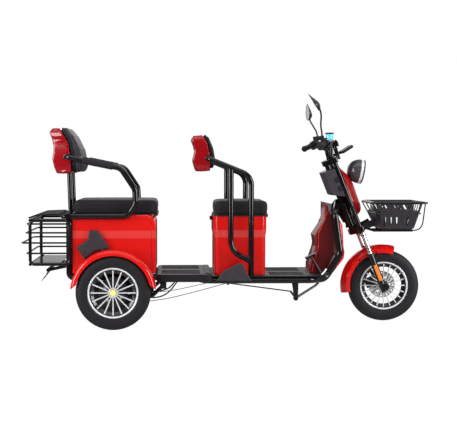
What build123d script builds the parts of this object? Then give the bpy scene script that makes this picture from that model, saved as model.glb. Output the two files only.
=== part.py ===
from build123d import *
import os
from math import cos, radians, sin

os.makedirs("parts", exist_ok=True)

# Electric tricycle: a steered front wheel, a driver's seat on a box and a passenger bench over the rear axle.
# Millimetres. +X is forward, +Y is the vehicle's left, +Z is up.
# The origin is on the ground, under the middle of the vehicle.

# ---------------------------------------------------------------- driving dimensions
wheelbase = 1549
track = 684
rear_overhang = 512  # rear axle to the basket's outermost bar
front_overhang = 245  # front axle to the front basket's rim

rear_x = (rear_overhang - wheelbase - front_overhang) / 2
front_x = rear_x + wheelbase
half_track = track / 2
sides = {"left": 1, "right": -1}

seam = 0.3  # where one piece seats on another
running_gap = 0.3  # round a shaft or a pin

# wheels, size 3.00-10
tyre_radius = 206.5
tyre_width = 80
crown_half = 33
shoulder_drop = 10.5
flange_radius = 139
bead_radius = 127
rim_half = 34
flange_wall = 5
barrel_wall = 5
well_radius = 112
rear_spokes = 16
front_spokes = 20
spoke_depth = 13
spoke_recess = 7

# rear axle
axle_z = tyre_radius
axle_tube = 28
shaft_radius = 12.5
drum_radius = 80
drum_depth = 28
drum_face = 6  # the drum's outer face, inward of the wheel's middle plane
backing_gap = 5
backing_plate = 6
motor_radius = 72
motor_half = 85

# steering geometry
rake = 21.5
trail = 28
fork_lead = 36  # stanchions ahead of the steering axis
leg_y = 78
stem_radius = 17
head_tube = 26
head_low, head_high = 592, 764
lower_yoke_at = 562
upper_yoke_at = 985
yoke_depth = 30
stanchion = 13
slider = 19
slider_top = 411
slider_foot = 176
front_axle = 7
axle_stub = 12  # of the axle outside each fork leg
front_hub_half = 36

# main frame
frame_tube = 19
rail_z = 277
front_rail_z = 263
cross_tube = 13
shield_tube_y = 130

# floor
deck_top = 300
deck_half = 300
deck_skirt = 42
deck_wall = 4
deck_rear = rear_x + 238
deck_step = rear_x + 545
front_deck_top = 288
front_deck_half = 266
front_deck_plate = 6
deck_front = front_x - 384
front_rail_y = front_deck_half - frame_tube - 2

# driver's box, seat, rails and backrest
box_rear = rear_x + 556
box_length = 298
box_half = 200
box_top = 618
box_wall = 4
box_corner = 28
waist_z = 506
waist_band = 26
waist_inset = 5
seat_overhang_rear = 1
seat_overhang_front = 14
driver_seat_half = 212
driver_seat_top = 705
pan_depth = 10
rail_tube = 15.5
driver_rail_y = box_half + 50
rail_front_x = box_rear + 207
rail_rear_x = box_rear + 94
rail_top_z = 948
driver_back_half = 185
backrest_corner = 50

# rear box, bench and its frame
rear_box_half = half_track - tyre_width / 2 - 52
rear_box_rear = rear_x - 229
rear_box_front = rear_x + 234
rear_box_low = 300
rear_box_top = 630
rear_box_corner = 60
rail_y = rear_box_half - 50
bench_rear = rear_x - 232
bench_front = rear_x + 250
bench_half = rear_box_half - 7
bench_top = 712
arm_tube = 16
arm_y = rear_box_half + arm_tube + 2
arm_low_z = 622
arm_top_z = 950
arm_rear_x = rear_x - 262
grip_wall = 4
post_radius = 13
post_y = 110
rear_back_half = rear_box_half - 25
upright_x = rear_x - 250

# rear fenders
fender_radius = tyre_radius + 28.5
fender_outer = half_track + tyre_width / 2 + 6
fender_wall = 3
fender_lip = 27

# rear basket
basket_half = arm_y - 8
basket_front = rear_x - 242
basket_back = rear_x - rear_overhang + 50
basket_low = 355
basket_top = 598
basket_tube = 9
basket_wire = 5
lid_wire = 5
lid_clear = 6
lid_rise = 20  # of the lid's arched sides
basket_bars = [(579, 16), (530, 22), (474, 45), (416, 18)]  # height, and how far each bows out at the back

# front basket
carrier_front = front_x + front_overhang
carrier_rear = carrier_front - 350
carrier_half = 185
carrier_top = 700
carrier_low = 535
carrier_wall = 3
carrier_rim = 14

hinge_pin = 2.5
hinge_barrel = 5

# brake linkage under the floor
pedal_pivot = (front_x - 533, 159)
linkage_y = -(front_rail_y - 23)
pedal_y = -140
equaliser_x = box_rear + 84
equaliser_y = 120
equaliser_z = 232
brake_lever_x, brake_lever_z = rear_x + 84, 140

steer = Plane(
    origin=(front_x + trail, 0, 0),
    x_dir=(cos(radians(rake)), 0, sin(radians(rake))),
    z_dir=(-sin(radians(rake)), 0, cos(radians(rake))),
)
steer_side = Plane(origin=steer.origin, x_dir=steer.x_dir, z_dir=(0, -1, 0))


# ---------------------------------------------------------------- helpers
def on_fork(forward, left, up):
    """A point given ahead of, beside and along the steering axis."""
    return steer.from_local_coords(Vector(forward, left, up))


def rod(start, end, radius, mode=Mode.ADD):
    """A straight round bar between two points."""
    run = Vector(*end) - Vector(*start)
    with BuildSketch(Plane(origin=start, z_dir=run)) as section:
        Circle(radius)
    extrude(section.sketch, amount=run.length, mode=mode)


def bar(points, bends, radius):
    """A round bar bent along a route, with one bend radius for each corner."""
    with BuildLine() as route:
        FilletPolyline(*points, radius=bends)
    with BuildSketch(Plane(origin=route.line @ 0, z_dir=route.line % 0)) as section:
        Circle(radius)
    sweep(section.sketch, path=route.line)


def across(outline, low_y, high_y, corner=0, mode=Mode.ADD):
    """A closed outline of (x, z) points, extruded from low_y to high_y."""
    with BuildSketch(Plane.XZ.offset(-high_y)) as section:
        Polygon(*outline, align=None)
        if corner:
            fillet(section.vertices(), corner)
    extrude(section.sketch, amount=high_y - low_y, mode=mode)


def mirrored(point, sign):
    """The point itself for the left side, and its mirror image for the right."""
    return Vector(point.X, sign * point.Y, point.Z)


def upright_block(middle_x, length, width, corner, low, high, mode=Mode.ADD):
    """A block with rounded upright edges, on the middle plane."""
    with BuildSketch(Plane.XY.offset(low)) as section:
        with Locations((middle_x, 0)):
            RectangleRounded(length, width, corner)
    extrude(section.sketch, amount=high - low, mode=mode)


def trim_to_front(half_width, low, high, corner, near_x):
    """Keeps what lies inside a rounded rectangle seen from the front."""
    with BuildSketch(Plane.YZ.offset(near_x - 400)) as section:
        with Locations((0, (low + high) / 2)):
            RectangleRounded(2 * half_width, high - low, corner)
    extrude(section.sketch, amount=800, mode=Mode.INTERSECT)


def save(name, part):
    part.label = name
    export_step(part, f"parts/{name}.step")


# ---------------------------------------------------------------- wheels
def wheel_tyre(centre):
    """A closed ring with a round crown and bulging side walls."""
    bead = rim_half - flange_wall
    shoulder = tyre_radius - shoulder_drop
    bulge = (flange_radius + shoulder) / 2
    with BuildPart() as tyre:
        with BuildSketch(Plane(centre)):
            with BuildLine():
                Polyline((flange_radius, bead), (bead_radius, bead), (bead_radius, -bead), (flange_radius, -bead))
                ThreePointArc((flange_radius, -bead), (bulge, -tyre_width / 2), (shoulder, -crown_half))
                ThreePointArc((shoulder, -crown_half), (tyre_radius, 0), (shoulder, crown_half))
                ThreePointArc((shoulder, crown_half), (bulge, tyre_width / 2), (flange_radius, bead))
            make_face()
        revolve(axis=Axis(centre, (0, 1, 0)))
    return tyre.part


def wheel_rim(centre, outward, spokes, boss_radius, flange, hub_from, hub_to, bore):
    """Flanged barrel with a drop centre, tapered spokes near the outward face and a hub."""
    bead = rim_half - flange_wall
    skin = bead_radius - barrel_wall
    well = well_radius - barrel_wall
    face = rim_half - spoke_recess
    with BuildPart() as rim:
        with BuildSketch(Plane(centre)):
            Polygon(
                (flange_radius, rim_half), (skin, rim_half), (skin, 18), (well, 8), (well, -8), (skin, -18),
                (skin, -rim_half), (flange_radius, -rim_half), (flange_radius, -bead), (bead_radius, -bead),
                (bead_radius, -20), (well_radius, -10), (well_radius, 10), (bead_radius, 20),
                (bead_radius, bead), (flange_radius, bead), align=None,
            )
        revolve(axis=Axis(centre, (0, 1, 0)))
        middle = Vector(*centre)
        spoke_plane = Plane(origin=middle + Vector(0, outward * face, 0), x_dir=(1, 0, 0), z_dir=(0, outward, 0))
        with BuildSketch(spoke_plane):
            with PolarLocations(0, spokes):
                Polygon(
                    (boss_radius - 4, -2.4), (skin + 1, -4.2), (skin + 1, 4.2), (boss_radius - 4, 2.4), align=None
                )
        extrude(amount=-spoke_depth)
        rod(middle + Vector(0, outward * hub_from, 0), middle + Vector(0, outward * hub_to, 0), boss_radius)
        flange_radius_now, flange_from, flange_to = flange
        rod(
            middle + Vector(0, outward * flange_from, 0), middle + Vector(0, outward * flange_to, 0),
            flange_radius_now,
        )
        rod(middle - Vector(0, 80, 0), middle + Vector(0, 80, 0), bore, mode=Mode.SUBTRACT)
    return rim.part


spoke_inner = rim_half - spoke_recess - spoke_depth
drum_inner = drum_face + drum_depth
for side, sign in sides.items():
    centre = (rear_x, sign * half_track, axle_z)
    save(f"rear_tyre_{side}", wheel_tyre(centre))
    rear_flange = (62, -drum_face, spoke_inner)
    save(
        f"rear_rim_{side}",
        wheel_rim(centre, sign, rear_spokes, 36, rear_flange, -drum_face, rim_half - 4, shaft_radius),
    )
    with BuildPart() as drum:
        outer = sign * (half_track - drum_face)
        inner = sign * (half_track - drum_inner)
        rod((rear_x, inner, axle_z), (rear_x, outer, axle_z), drum_radius)
        rod((rear_x, inner + sign * 8, axle_z), (rear_x, inner + sign * 14, axle_z), drum_radius + 4)
        rod((rear_x, inner - sign * 60, axle_z), (rear_x, outer + sign * 30, axle_z), shaft_radius)
    save(f"rear_drum_{side}", drum.part)

front_centre = (front_x, 0, axle_z)
save("front_tyre", wheel_tyre(front_centre))
front_flange = (26, -front_hub_half, 0)
save(
    "front_rim",
    wheel_rim(
        front_centre, -1, front_spokes, 24, front_flange, -front_hub_half, front_hub_half,
        front_axle + running_gap,
    ),
)

disc_radius = 78
disc_y = front_hub_half + 9
disc_thickness = 4
disc_holes = 12
with BuildPart() as brake_disc:
    rod((front_x, disc_y - disc_thickness, axle_z), (front_x, disc_y, axle_z), disc_radius)
    rod((front_x, front_hub_half, axle_z), (front_x, disc_y, axle_z), 30)
    rod((front_x, 0, axle_z), (front_x, 80, axle_z), front_axle + running_gap, mode=Mode.SUBTRACT)
    with BuildSketch(Plane(origin=(front_x, disc_y, axle_z), x_dir=(1, 0, 0), z_dir=(0, 1, 0))):
        with PolarLocations(0.86 * disc_radius, disc_holes):
            Circle(4)
        with PolarLocations(0.58 * disc_radius, disc_holes // 2):
            Circle(7)
    extrude(amount=-disc_thickness, mode=Mode.SUBTRACT)
save("brake_disc", brake_disc.part)

# ---------------------------------------------------------------- rear axle, motor, swing arms, shocks
backing_y = half_track - drum_inner - backing_gap
shock_x = rear_x - 52
shock_y = rear_box_half + 26
shock_low, shock_high = axle_z - 6, axle_z + 200
arm_pivot = (rear_x + 273, 233)
swing_y = rail_y + 20
saddle_half = 14
with BuildPart() as rear_axle:
    for sign in sides.values():
        tube_end = sign * (backing_y - backing_plate)
        rod((rear_x, sign * 40, axle_z), (rear_x, tube_end, axle_z), axle_tube)
        rod((rear_x, tube_end, axle_z), (rear_x, sign * backing_y, axle_z), drum_radius + 4)
        with Locations((rear_x, sign * swing_y, axle_z - 34)):
            Box(70, 2 * saddle_half, 30)
        for offset in (-14, 14):
            with Locations(((rear_x + shock_x) / 2 - 10, sign * shock_y + offset, axle_z - 4)):
                Box(rear_x - shock_x + 6, 4, 22)
        rod((shock_x, sign * (shock_y - 16), shock_low), (shock_x, sign * (shock_y + 16), shock_low), 4)
    with BuildSketch(Plane(origin=(rear_x, 0, axle_z), x_dir=(0, 1, 0), z_dir=(0, 0, 1))):
        with BuildLine():
            Polyline((-90, 0), (-90, 36))
            ThreePointArc((-90, 36), (0, 76), (70, 40))
            Polyline((70, 40), (70, 0), (-90, 0))
        make_face()
    revolve(axis=Axis((rear_x, 0, axle_z), (0, 1, 0)))
    for sign in sides.values():
        plate_face = backing_y - backing_plate
        near, far = sorted((sign * (plate_face - 6), sign * (plate_face + 1)))
        across(
            [
                (rear_x - 10, axle_z - 50), (rear_x + 10, axle_z - 40), (brake_lever_x + 6, brake_lever_z + 4),
                (brake_lever_x + 2, brake_lever_z - 7), (rear_x, axle_z - 72),
            ],
            near, far,
        )
        rod(
            (brake_lever_x, sign * (plate_face - 14), brake_lever_z), (brake_lever_x, sign * plate_face, brake_lever_z),
            5,
        )
        rod(
            (rear_x, sign * (backing_y - 80), axle_z), (rear_x, sign * (backing_y + 1), axle_z),
            shaft_radius + running_gap, mode=Mode.SUBTRACT,
        )
save("rear_axle", rear_axle.part)

motor_x = rear_x + 76 + motor_radius + seam
with BuildPart() as drive_motor:
    rod((motor_x, -motor_half, axle_z + 4), (motor_x, motor_half - 10, axle_z + 4), motor_radius)
save("drive_motor", drive_motor.part)

with BuildPart() as swing_arms:
    for sign in sides.values():
        y = sign * swing_y
        eye_low, eye_high = y - saddle_half, y + saddle_half
        bar(
            [
                (arm_pivot[0], y, arm_pivot[1]), (rear_x + 208, y, 170), (rear_x + 120, y, 162),
                (rear_x + 36.7, y, axle_z - 34),
            ],
            [40, 60], 11,
        )
        rod((arm_pivot[0], eye_low, arm_pivot[1]), (arm_pivot[0], eye_high, arm_pivot[1]), 18)
        rod((arm_pivot[0], eye_low, arm_pivot[1]), (arm_pivot[0], eye_high, arm_pivot[1]), 8 + seam, mode=Mode.SUBTRACT)
save("swing_arms", swing_arms.part)

coil_turns = 8
with BuildPart() as shocks:
    for sign in sides.values():
        y = sign * shock_y
        rod((shock_x, y, shock_low), (shock_x, y, shock_high), 9)
        for eye_z in (shock_low, shock_high):
            rod((shock_x, y - 10, eye_z), (shock_x, y + 10, eye_z), 13)
        coil_pitch = (shock_high - shock_low - 50) / coil_turns
        for turn in range(coil_turns):
            coil_z = shock_low + 25 + (turn + 0.5) * coil_pitch
            rod((shock_x, y, coil_z - 4), (shock_x, y, coil_z + 4), 19)
        for eye_z in (shock_low, shock_high):
            rod((shock_x, y - 11, eye_z), (shock_x, y + 11, eye_z), 4 + seam, mode=Mode.SUBTRACT)
save("shocks", shocks.part)

# ---------------------------------------------------------------- main frame
with BuildPart() as main_frame:
    for sign in sides.values():
        bar(
            [
                (upright_x, sign * rail_y, arm_low_z - arm_tube - seam),
                (upright_x, sign * rail_y, rail_z),
                (deck_step - 120, sign * rail_y, rail_z),
                (deck_step - 35, sign * front_rail_y, front_rail_z),
                (front_x - 449, sign * front_rail_y, front_rail_z),
                (front_x - 357, sign * (shield_tube_y + 12), front_rail_z - 4),
                (front_x - 269, sign * shield_tube_y, 400),
                (front_x - 300, sign * (shield_tube_y - 6), 630),
                (front_x - 268, sign * 12, 690),
            ],
            [25, 60, 60, 60, 60, 60, 40],
            frame_tube,
        )
        with Locations((arm_pivot[0], sign * rail_y, arm_pivot[1] + 3)):
            Box(36, 11, 50)
        rod(
            (arm_pivot[0], sign * rail_y, arm_pivot[1]),
            (arm_pivot[0], sign * (swing_y + saddle_half + 8), arm_pivot[1]), 8,
        )
        rod(
            (arm_pivot[0], sign * (swing_y + saddle_half + 2), arm_pivot[1]),
            (arm_pivot[0], sign * (swing_y + saddle_half + 8), arm_pivot[1]), 14,
        )
        rod((shock_x, sign * rail_y, rail_z), (shock_x, sign * (rear_box_half + 3), rail_z), 10)
        with Locations((shock_x, sign * (rear_box_half + 3), (rail_z + shock_high) / 2 - 2)):
            Box(30, 5, shock_high - rail_z + 24)
        rod((shock_x, sign * (rear_box_half + 3), shock_high), (shock_x, sign * (shock_y + 14), shock_high), 4)
    for x in (rear_x - 150, arm_pivot[0], deck_step - 145):
        rod((x, -rail_y, rail_z), (x, rail_y, rail_z), cross_tube)
    for x in (equaliser_x, box_rear + 344, deck_front - 85):
        rod((x, -front_rail_y, front_rail_z), (x, front_rail_y, front_rail_z), cross_tube)
    rod(on_fork(0, 0, head_low), on_fork(0, 0, head_high), head_tube)
    for low in (head_low, head_high - 12):
        rod(on_fork(0, 0, low), on_fork(0, 0, low + 12), head_tube + 4)
    across([(front_x - 290, 664), (front_x - 262, 690), (front_x - 222, 571), (front_x - 234, 571)], -4, 4)
    across(
        [
            (pedal_pivot[0] - 27, front_rail_z), (pedal_pivot[0] + 13, front_rail_z),
            (pedal_pivot[0] + 10, pedal_pivot[1] - 6), (pedal_pivot[0] - 10, pedal_pivot[1] - 6),
        ],
        -front_rail_y - 4, -front_rail_y + 4,
    )
    rod(
        (pedal_pivot[0], -front_rail_y - 8, pedal_pivot[1]), (pedal_pivot[0], linkage_y + 14, pedal_pivot[1]), 5
    )
    for sign in sides.values():
        y = sign * equaliser_y
        rod((equaliser_x, y, front_rail_z), (equaliser_x, y, equaliser_z), 6)
        rod((equaliser_x, y - 8, equaliser_z), (equaliser_x, y + 8, equaliser_z), 9)
    rod(on_fork(0, 0, head_low - 5), on_fork(0, 0, head_high + 5), stem_radius + running_gap, mode=Mode.SUBTRACT)
save("main_frame", main_frame.part)

# ---------------------------------------------------------------- floor
deck_middle = (deck_rear + deck_step) / 2
deck_length = deck_step - deck_rear
mat_ribs = 5
with BuildPart() as floor_deck:
    upright_block(deck_middle, deck_length, 2 * deck_half, 30, deck_top - deck_skirt, deck_top)
    fillet(floor_deck.faces().sort_by(Axis.Z)[-1].edges(), 5)
    upright_block(
        deck_middle, deck_length - 2 * deck_wall, 2 * (deck_half - deck_wall), 26,
        deck_top - deck_skirt, deck_top - deck_wall, mode=Mode.SUBTRACT,
    )
    with Locations((deck_step - 22, 0, deck_top)):
        Box(30, 2 * deck_half - 90, 5, align=(Align.CENTER, Align.CENTER, Align.MIN))
    with BuildSketch(Plane.XY.offset(front_deck_top - front_deck_plate)):
        with Locations(((deck_step + deck_front) / 2 - 5, 0)):
            Rectangle(deck_front - deck_step + 10, 2 * front_deck_half)
    extrude(amount=front_deck_plate)
    front_mat_rear, front_mat_front = box_rear + box_length + 20, front_x - 484
    for sign in sides.values():
        for row in range(mat_ribs):
            rib_y = sign * (60 + 44 * row)
            with Locations((deck_middle - 20, rib_y, deck_top)):
                Box(deck_length - 90, 14, 2.5, align=(Align.CENTER, Align.CENTER, Align.MIN))
            with Locations(((front_mat_rear + front_mat_front) / 2, 0.86 * rib_y, front_deck_top)):
                Box(front_mat_front - front_mat_rear, 12, 2.5, align=(Align.CENTER, Align.CENTER, Align.MIN))
        with Locations((deck_rear, sign * rail_y, deck_top - deck_wall)):
            Box(20, 2 * frame_tube + 2, 60, align=(Align.CENTER, Align.CENTER, Align.MAX), mode=Mode.SUBTRACT)
        with Locations((deck_step, sign * front_rail_y, front_deck_top - front_deck_plate)):
            Box(40, 2 * frame_tube + 2, 60, align=(Align.CENTER, Align.CENTER, Align.MAX), mode=Mode.SUBTRACT)
    with Locations((deck_front, pedal_y, front_deck_top)):
        Box(44, 30, 20, mode=Mode.SUBTRACT)
save("floor_deck", floor_deck.part)

# ---------------------------------------------------------------- leg shield
shield_half = shield_tube_y - frame_tube - 9
inner_shield_outline = [
    (front_x - 354, 692), (front_x - 318, 684), (front_x - 321, 600), (front_x - 303, 420),
    (front_x - 323, 360), (front_x - 379, front_deck_top + seam), (front_x - 442, front_deck_top + seam),
    (front_x - 441, 336), (front_x - 408, 430), (front_x - 404, 457), (front_x - 412, 502), (front_x - 354, 591),
]
with BuildPart() as inner_shield:
    across(inner_shield_outline, -shield_half, shield_half, corner=6)
save("inner_shield", inner_shield.part)

front_shield_outline = [
    (front_x - 287, 612), (front_x - 251, 558), (front_x - 243, 432), (front_x - 237, 404),
    (front_x - 243, 368), (front_x - 305, 284), (front_x - 323, 298), (front_x - 283, 380),
    (front_x - 293, 470), (front_x - 307, 600),
]
with BuildPart() as leg_shield:
    across(front_shield_outline, -shield_half, shield_half, corner=5)
    for sign in sides.values():
        rod(
            (front_x - 275, sign * (shield_half - 2), 412),
            (front_x - 275, sign * (shield_tube_y - frame_tube - 2 * seam), 412), 8,
        )
save("leg_shield", leg_shield.part)

# ---------------------------------------------------------------- driver's box, seat, rails and backrest
box_middle = box_rear + box_length / 2
box_front = box_rear + box_length
vent_columns, vent_rows = 9, 6
vent_radius = 6
seat_hinge_x, seat_hinge_z = box_front + 6, box_top - hinge_barrel - seam
with BuildPart() as driver_box:
    body_length, body_half = box_length - 2 * waist_inset, box_half - waist_inset
    upright_block(box_middle, body_length, 2 * body_half, box_corner, front_deck_top, waist_z)
    with BuildSketch(Plane.XY.offset(waist_z)) as waist_low:
        with Locations((box_middle, 0)):
            RectangleRounded(body_length, 2 * body_half, box_corner)
    with BuildSketch(Plane.XY.offset(waist_z + waist_band)) as waist_high:
        with Locations((box_middle, 0)):
            RectangleRounded(box_length, 2 * box_half, box_corner + waist_inset)
    loft([waist_low.sketch, waist_high.sketch])
    upright_block(
        box_middle, box_length, 2 * box_half, box_corner + waist_inset, waist_z + waist_band, box_top
    )
    upright_block(
        box_middle, body_length - 2 * box_wall, 2 * (body_half - box_wall), box_corner - box_wall,
        front_deck_top + box_wall, box_top, mode=Mode.SUBTRACT,
    )
    with BuildSketch(Plane.YZ.offset(box_rear - 1)) as vents:
        with Locations((0, 398)):
            with GridLocations(5 * vent_radius, 3.4 * vent_radius, vent_columns, vent_rows):
                RegularPolygon(vent_radius, 6)
        with Locations((0, 575)):
            with GridLocations(4 * vent_radius, 1, 3, 1):
                Circle(4)
    extrude(vents.sketch, amount=waist_inset + 2 * box_wall, mode=Mode.SUBTRACT)
    for y in (-110, 110):
        with Locations((box_front + 2, y, seat_hinge_z)):
            Box(8, 20, 8)
        rod((seat_hinge_x, y - 10, seat_hinge_z), (seat_hinge_x, y + 10, seat_hinge_z), hinge_barrel)
        rod((seat_hinge_x, y - 26, seat_hinge_z), (seat_hinge_x, y + 26, seat_hinge_z), hinge_pin)
save("driver_box", driver_box.part)

with BuildPart() as box_latch:
    with Locations((box_rear - seam - 8, 0, box_top - 18)):
        Box(16, 34, 24)
    chamfer(box_latch.edges().filter_by(Axis.Y).group_by(Axis.X)[0], 4)
save("box_latch", box_latch.part)

seat_rear, seat_front = box_rear - seat_overhang_rear, box_front + seat_overhang_front
seat_middle, seat_length = (seat_rear + seat_front) / 2, seat_front - seat_rear
pan_low = box_top + seam
with BuildPart() as driver_seat_pan:
    upright_block(seat_middle, seat_length - 10, 2 * driver_seat_half - 10, 30, pan_low, pan_low + pan_depth)
    for y in (-110, 110):
        for offset in (-18, 18):
            with Locations((seat_hinge_x, y + offset, (seat_hinge_z + pan_low) / 2 + 1)):
                Box(5, 15, pan_low - seat_hinge_z + 2)
            rod(
                (seat_hinge_x, y + offset - 7.5, seat_hinge_z), (seat_hinge_x, y + offset + 7.5, seat_hinge_z),
                hinge_barrel,
            )
        rod(
            (seat_hinge_x, y - 27, seat_hinge_z), (seat_hinge_x, y + 27, seat_hinge_z), hinge_pin + 0.1,
            mode=Mode.SUBTRACT,
        )
save("driver_seat_pan", driver_seat_pan.part)

with BuildPart() as driver_seat:
    upright_block(seat_middle, seat_length, 2 * driver_seat_half, 35, pan_low + pan_depth, driver_seat_top)
    fillet(driver_seat.faces().sort_by(Axis.Z)[-1].edges(), 18)
save("driver_seat", driver_seat.part)

shell_bolt = (box_rear - 33, 941)
with BuildPart() as driver_rails:
    for sign in sides.values():
        y = sign * driver_rail_y
        bar(
            [
                (shell_bolt[0], sign * 175, shell_bolt[1]), (shell_bolt[0], y, shell_bolt[1]),
                (rail_front_x, y, 844), (rail_front_x, y, front_deck_top),
            ],
            [26, 75], rail_tube,
        )
        bar([(rail_rear_x, y, 888), (rail_rear_x, y, 425), (rail_front_x, y, 368)], [100], rail_tube)
save("driver_rails", driver_rails.part)

cover_outline = [
    (box_rear + 12, 264), (box_rear + 54, 320), (box_rear + 139, 362), (box_rear + 162, 354),
    (box_rear + 186, 300), (box_rear + 209, 261),
]
with BuildPart() as rail_covers:
    for sign in sides.values():
        near, far = sorted((sign * (driver_rail_y + rail_tube + 1), sign * (front_deck_half + 30)))
        across(cover_outline, near, far)
        outer_face = rail_covers.faces().filter_by(Axis.Y).sort_by(Axis.Y)[-1 if sign > 0 else 0]
        chamfer(outer_face.edges().filter_by(GeomType.LINE), 5)
save("rail_covers", rail_covers.part)

driver_shell_outline = [
    (box_rear - 114, 1070), (box_rear - 124, 1049), (box_rear - 103, 984), (box_rear - 117, 933),
    (box_rear - 97, 867), (box_rear - 18, 871), (box_rear - 20, 960), (box_rear - 36, 1030), (box_rear - 62, 1074),
]
with BuildPart() as driver_backrest_shell:
    across(driver_shell_outline, -driver_back_half, driver_back_half, corner=6)
    trim_to_front(driver_back_half, 860, 1076, backrest_corner, box_rear)
    for sign in sides.values():
        rod(
            (shell_bolt[0], sign * 174, shell_bolt[1]), (shell_bolt[0], sign * (driver_back_half + 30), shell_bolt[1]),
            rail_tube + seam, mode=Mode.SUBTRACT,
        )
save("driver_backrest_shell", driver_backrest_shell.part)

driver_pad_outline = [
    (box_rear - 17.7, 873), (box_rear, 879), (box_rear + 13, 933), (box_rear, 1000), (box_rear - 26, 1063),
    (box_rear - 44, 1082), (box_rear - 61.6, 1083), (box_rear - 35.7, 1030), (box_rear - 19.7, 960),
]
with BuildPart() as driver_backrest_pad:
    across(driver_pad_outline, -driver_back_half, driver_back_half)
    trim_to_front(driver_back_half, 868, 1084, backrest_corner, box_rear)
    for sign in sides.values():
        rod(
            (shell_bolt[0] + 40, sign * driver_rail_y, shell_bolt[1]), (shell_bolt[0], sign * 150, shell_bolt[1]),
            rail_tube + 1, mode=Mode.SUBTRACT,
        )
save("driver_backrest_pad", driver_backrest_pad.part)

# ---------------------------------------------------------------- rear box, bench and its frame
rear_box_middle = (rear_box_rear + rear_box_front) / 2
groove_inset = 24
groove_half = 3
bench_hinge_x, bench_hinge_z = rear_box_front + 6, rear_box_top - hinge_barrel - seam
with BuildPart() as rear_box:
    with BuildSketch(Plane.XZ.offset(-rear_box_half)):
        with BuildLine():
            FilletPolyline(
                (rear_box_rear, rear_box_low), (rear_box_front, rear_box_low), (rear_box_front, rear_box_top),
                (rear_box_rear, rear_box_top), radius=[20, rear_box_corner],
            )
            Line((rear_box_rear, rear_box_top), (rear_box_rear, rear_box_low))
        make_face()
    extrude(amount=2 * rear_box_half)
    outer_edges = rear_box.faces().filter_by(Axis.Y).edges().filter_by(lambda e: e.center().Z < rear_box_top - 1)
    fillet([e for e in outer_edges if e.center().X > rear_box_front - 40 and e.center().Z > rear_box_low + 1], 10)
    upright_block(
        rear_box_middle, rear_box_front - rear_box_rear - 2 * box_wall, 2 * (rear_box_half - box_wall), 12,
        rear_box_low + box_wall, rear_box_top - rear_box_corner, mode=Mode.SUBTRACT,
    )
    upright_block(
        rear_box_middle - 25, rear_box_front - rear_box_rear - 2 * box_wall - 50, 2 * (rear_box_half - box_wall), 12,
        rear_box_top - rear_box_corner, rear_box_top, mode=Mode.SUBTRACT,
    )
    for sign in sides.values():
        with BuildLine() as groove_path:
            FilletPolyline(
                (rear_box_rear, sign * rear_box_half, rear_box_top - groove_inset),
                (rear_box_front - groove_inset, sign * rear_box_half, rear_box_top - groove_inset),
                (rear_box_front - groove_inset, sign * rear_box_half, rear_box_low),
                radius=rear_box_corner - groove_inset,
            )
        with BuildSketch(Plane(origin=groove_path.line @ 0, z_dir=groove_path.line % 0)) as groove:
            Circle(groove_half)
        sweep(groove.sketch, path=groove_path.line, mode=Mode.SUBTRACT)
    for y in (-130, 130):
        across(
            [
                (rear_box_front - 34, rear_box_top - 22), (rear_box_front - 20, rear_box_top - 32),
                (bench_hinge_x + 3, bench_hinge_z - 2), (bench_hinge_x - 1, bench_hinge_z + 3),
            ],
            y - 10, y + 10,
        )
        rod((bench_hinge_x, y - 10, bench_hinge_z), (bench_hinge_x, y + 10, bench_hinge_z), hinge_barrel)
        rod((bench_hinge_x, y - 26, bench_hinge_z), (bench_hinge_x, y + 26, bench_hinge_z), hinge_pin)
save("rear_box", rear_box.part)

bench_length = bench_front - bench_rear
bench_middle = (bench_front + bench_rear) / 2
bench_pan_low = rear_box_top + seam
bench_pan_depth = 5
with BuildPart() as bench_pan:
    upright_block(
        bench_middle, bench_length - 10, 2 * bench_half - 10, 30, bench_pan_low, bench_pan_low + bench_pan_depth
    )
    for y in (-130, 130):
        for offset in (-18, 18):
            with Locations((bench_hinge_x, y + offset, (bench_hinge_z + bench_pan_low) / 2 + 1)):
                Box(5, 15, bench_pan_low - bench_hinge_z + 2)
            rod(
                (bench_hinge_x, y + offset - 7.5, bench_hinge_z), (bench_hinge_x, y + offset + 7.5, bench_hinge_z),
                hinge_barrel,
            )
        rod(
            (bench_hinge_x, y - 27, bench_hinge_z), (bench_hinge_x, y + 27, bench_hinge_z), hinge_pin + 0.1,
            mode=Mode.SUBTRACT,
        )
save("bench_pan", bench_pan.part)

with BuildPart() as bench_cushion:
    upright_block(bench_middle, bench_length, 2 * bench_half, 35, bench_pan_low + bench_pan_depth, bench_top)
    fillet(bench_cushion.faces().sort_by(Axis.Z)[-1].edges(), 18)
save("bench_cushion", bench_cushion.part)

arm_knee = (rear_x + 40, 888)
with BuildPart() as bench_frame:
    for sign in sides.values():
        y = sign * arm_y
        bar(
            [
                (arm_rear_x, sign * (rear_back_half - 10), arm_top_z), (arm_rear_x, y, arm_top_z),
                (arm_knee[0], y, arm_knee[1]), (rear_x + 118, y, 770), (rear_x + 122, y, 690),
                (rear_x + 80, y, arm_low_z), (upright_x, y, arm_low_z),
            ],
            [30, 60, 60, 50, 50], arm_tube,
        )
        rod((upright_x, sign * post_y, arm_low_z), (upright_x - 8, sign * post_y, 880), post_radius)
    rod((upright_x, -arm_y - arm_tube, arm_low_z), (upright_x, arm_y + arm_tube, arm_low_z), arm_tube)
save("bench_frame", bench_frame.part)

with BuildPart() as arm_grips:
    for sign in sides.values():
        start = Vector(arm_rear_x, sign * arm_y, arm_top_z)
        along = Vector(arm_knee[0] - arm_rear_x, 0, arm_knee[1] - arm_top_z)
        rod(start + along * 0.3, start + along * 0.86, arm_tube + grip_wall)
        rod(start + along * 0.28, start + along * 0.9, arm_tube + 0.1, mode=Mode.SUBTRACT)
save("arm_grips", arm_grips.part)

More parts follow.
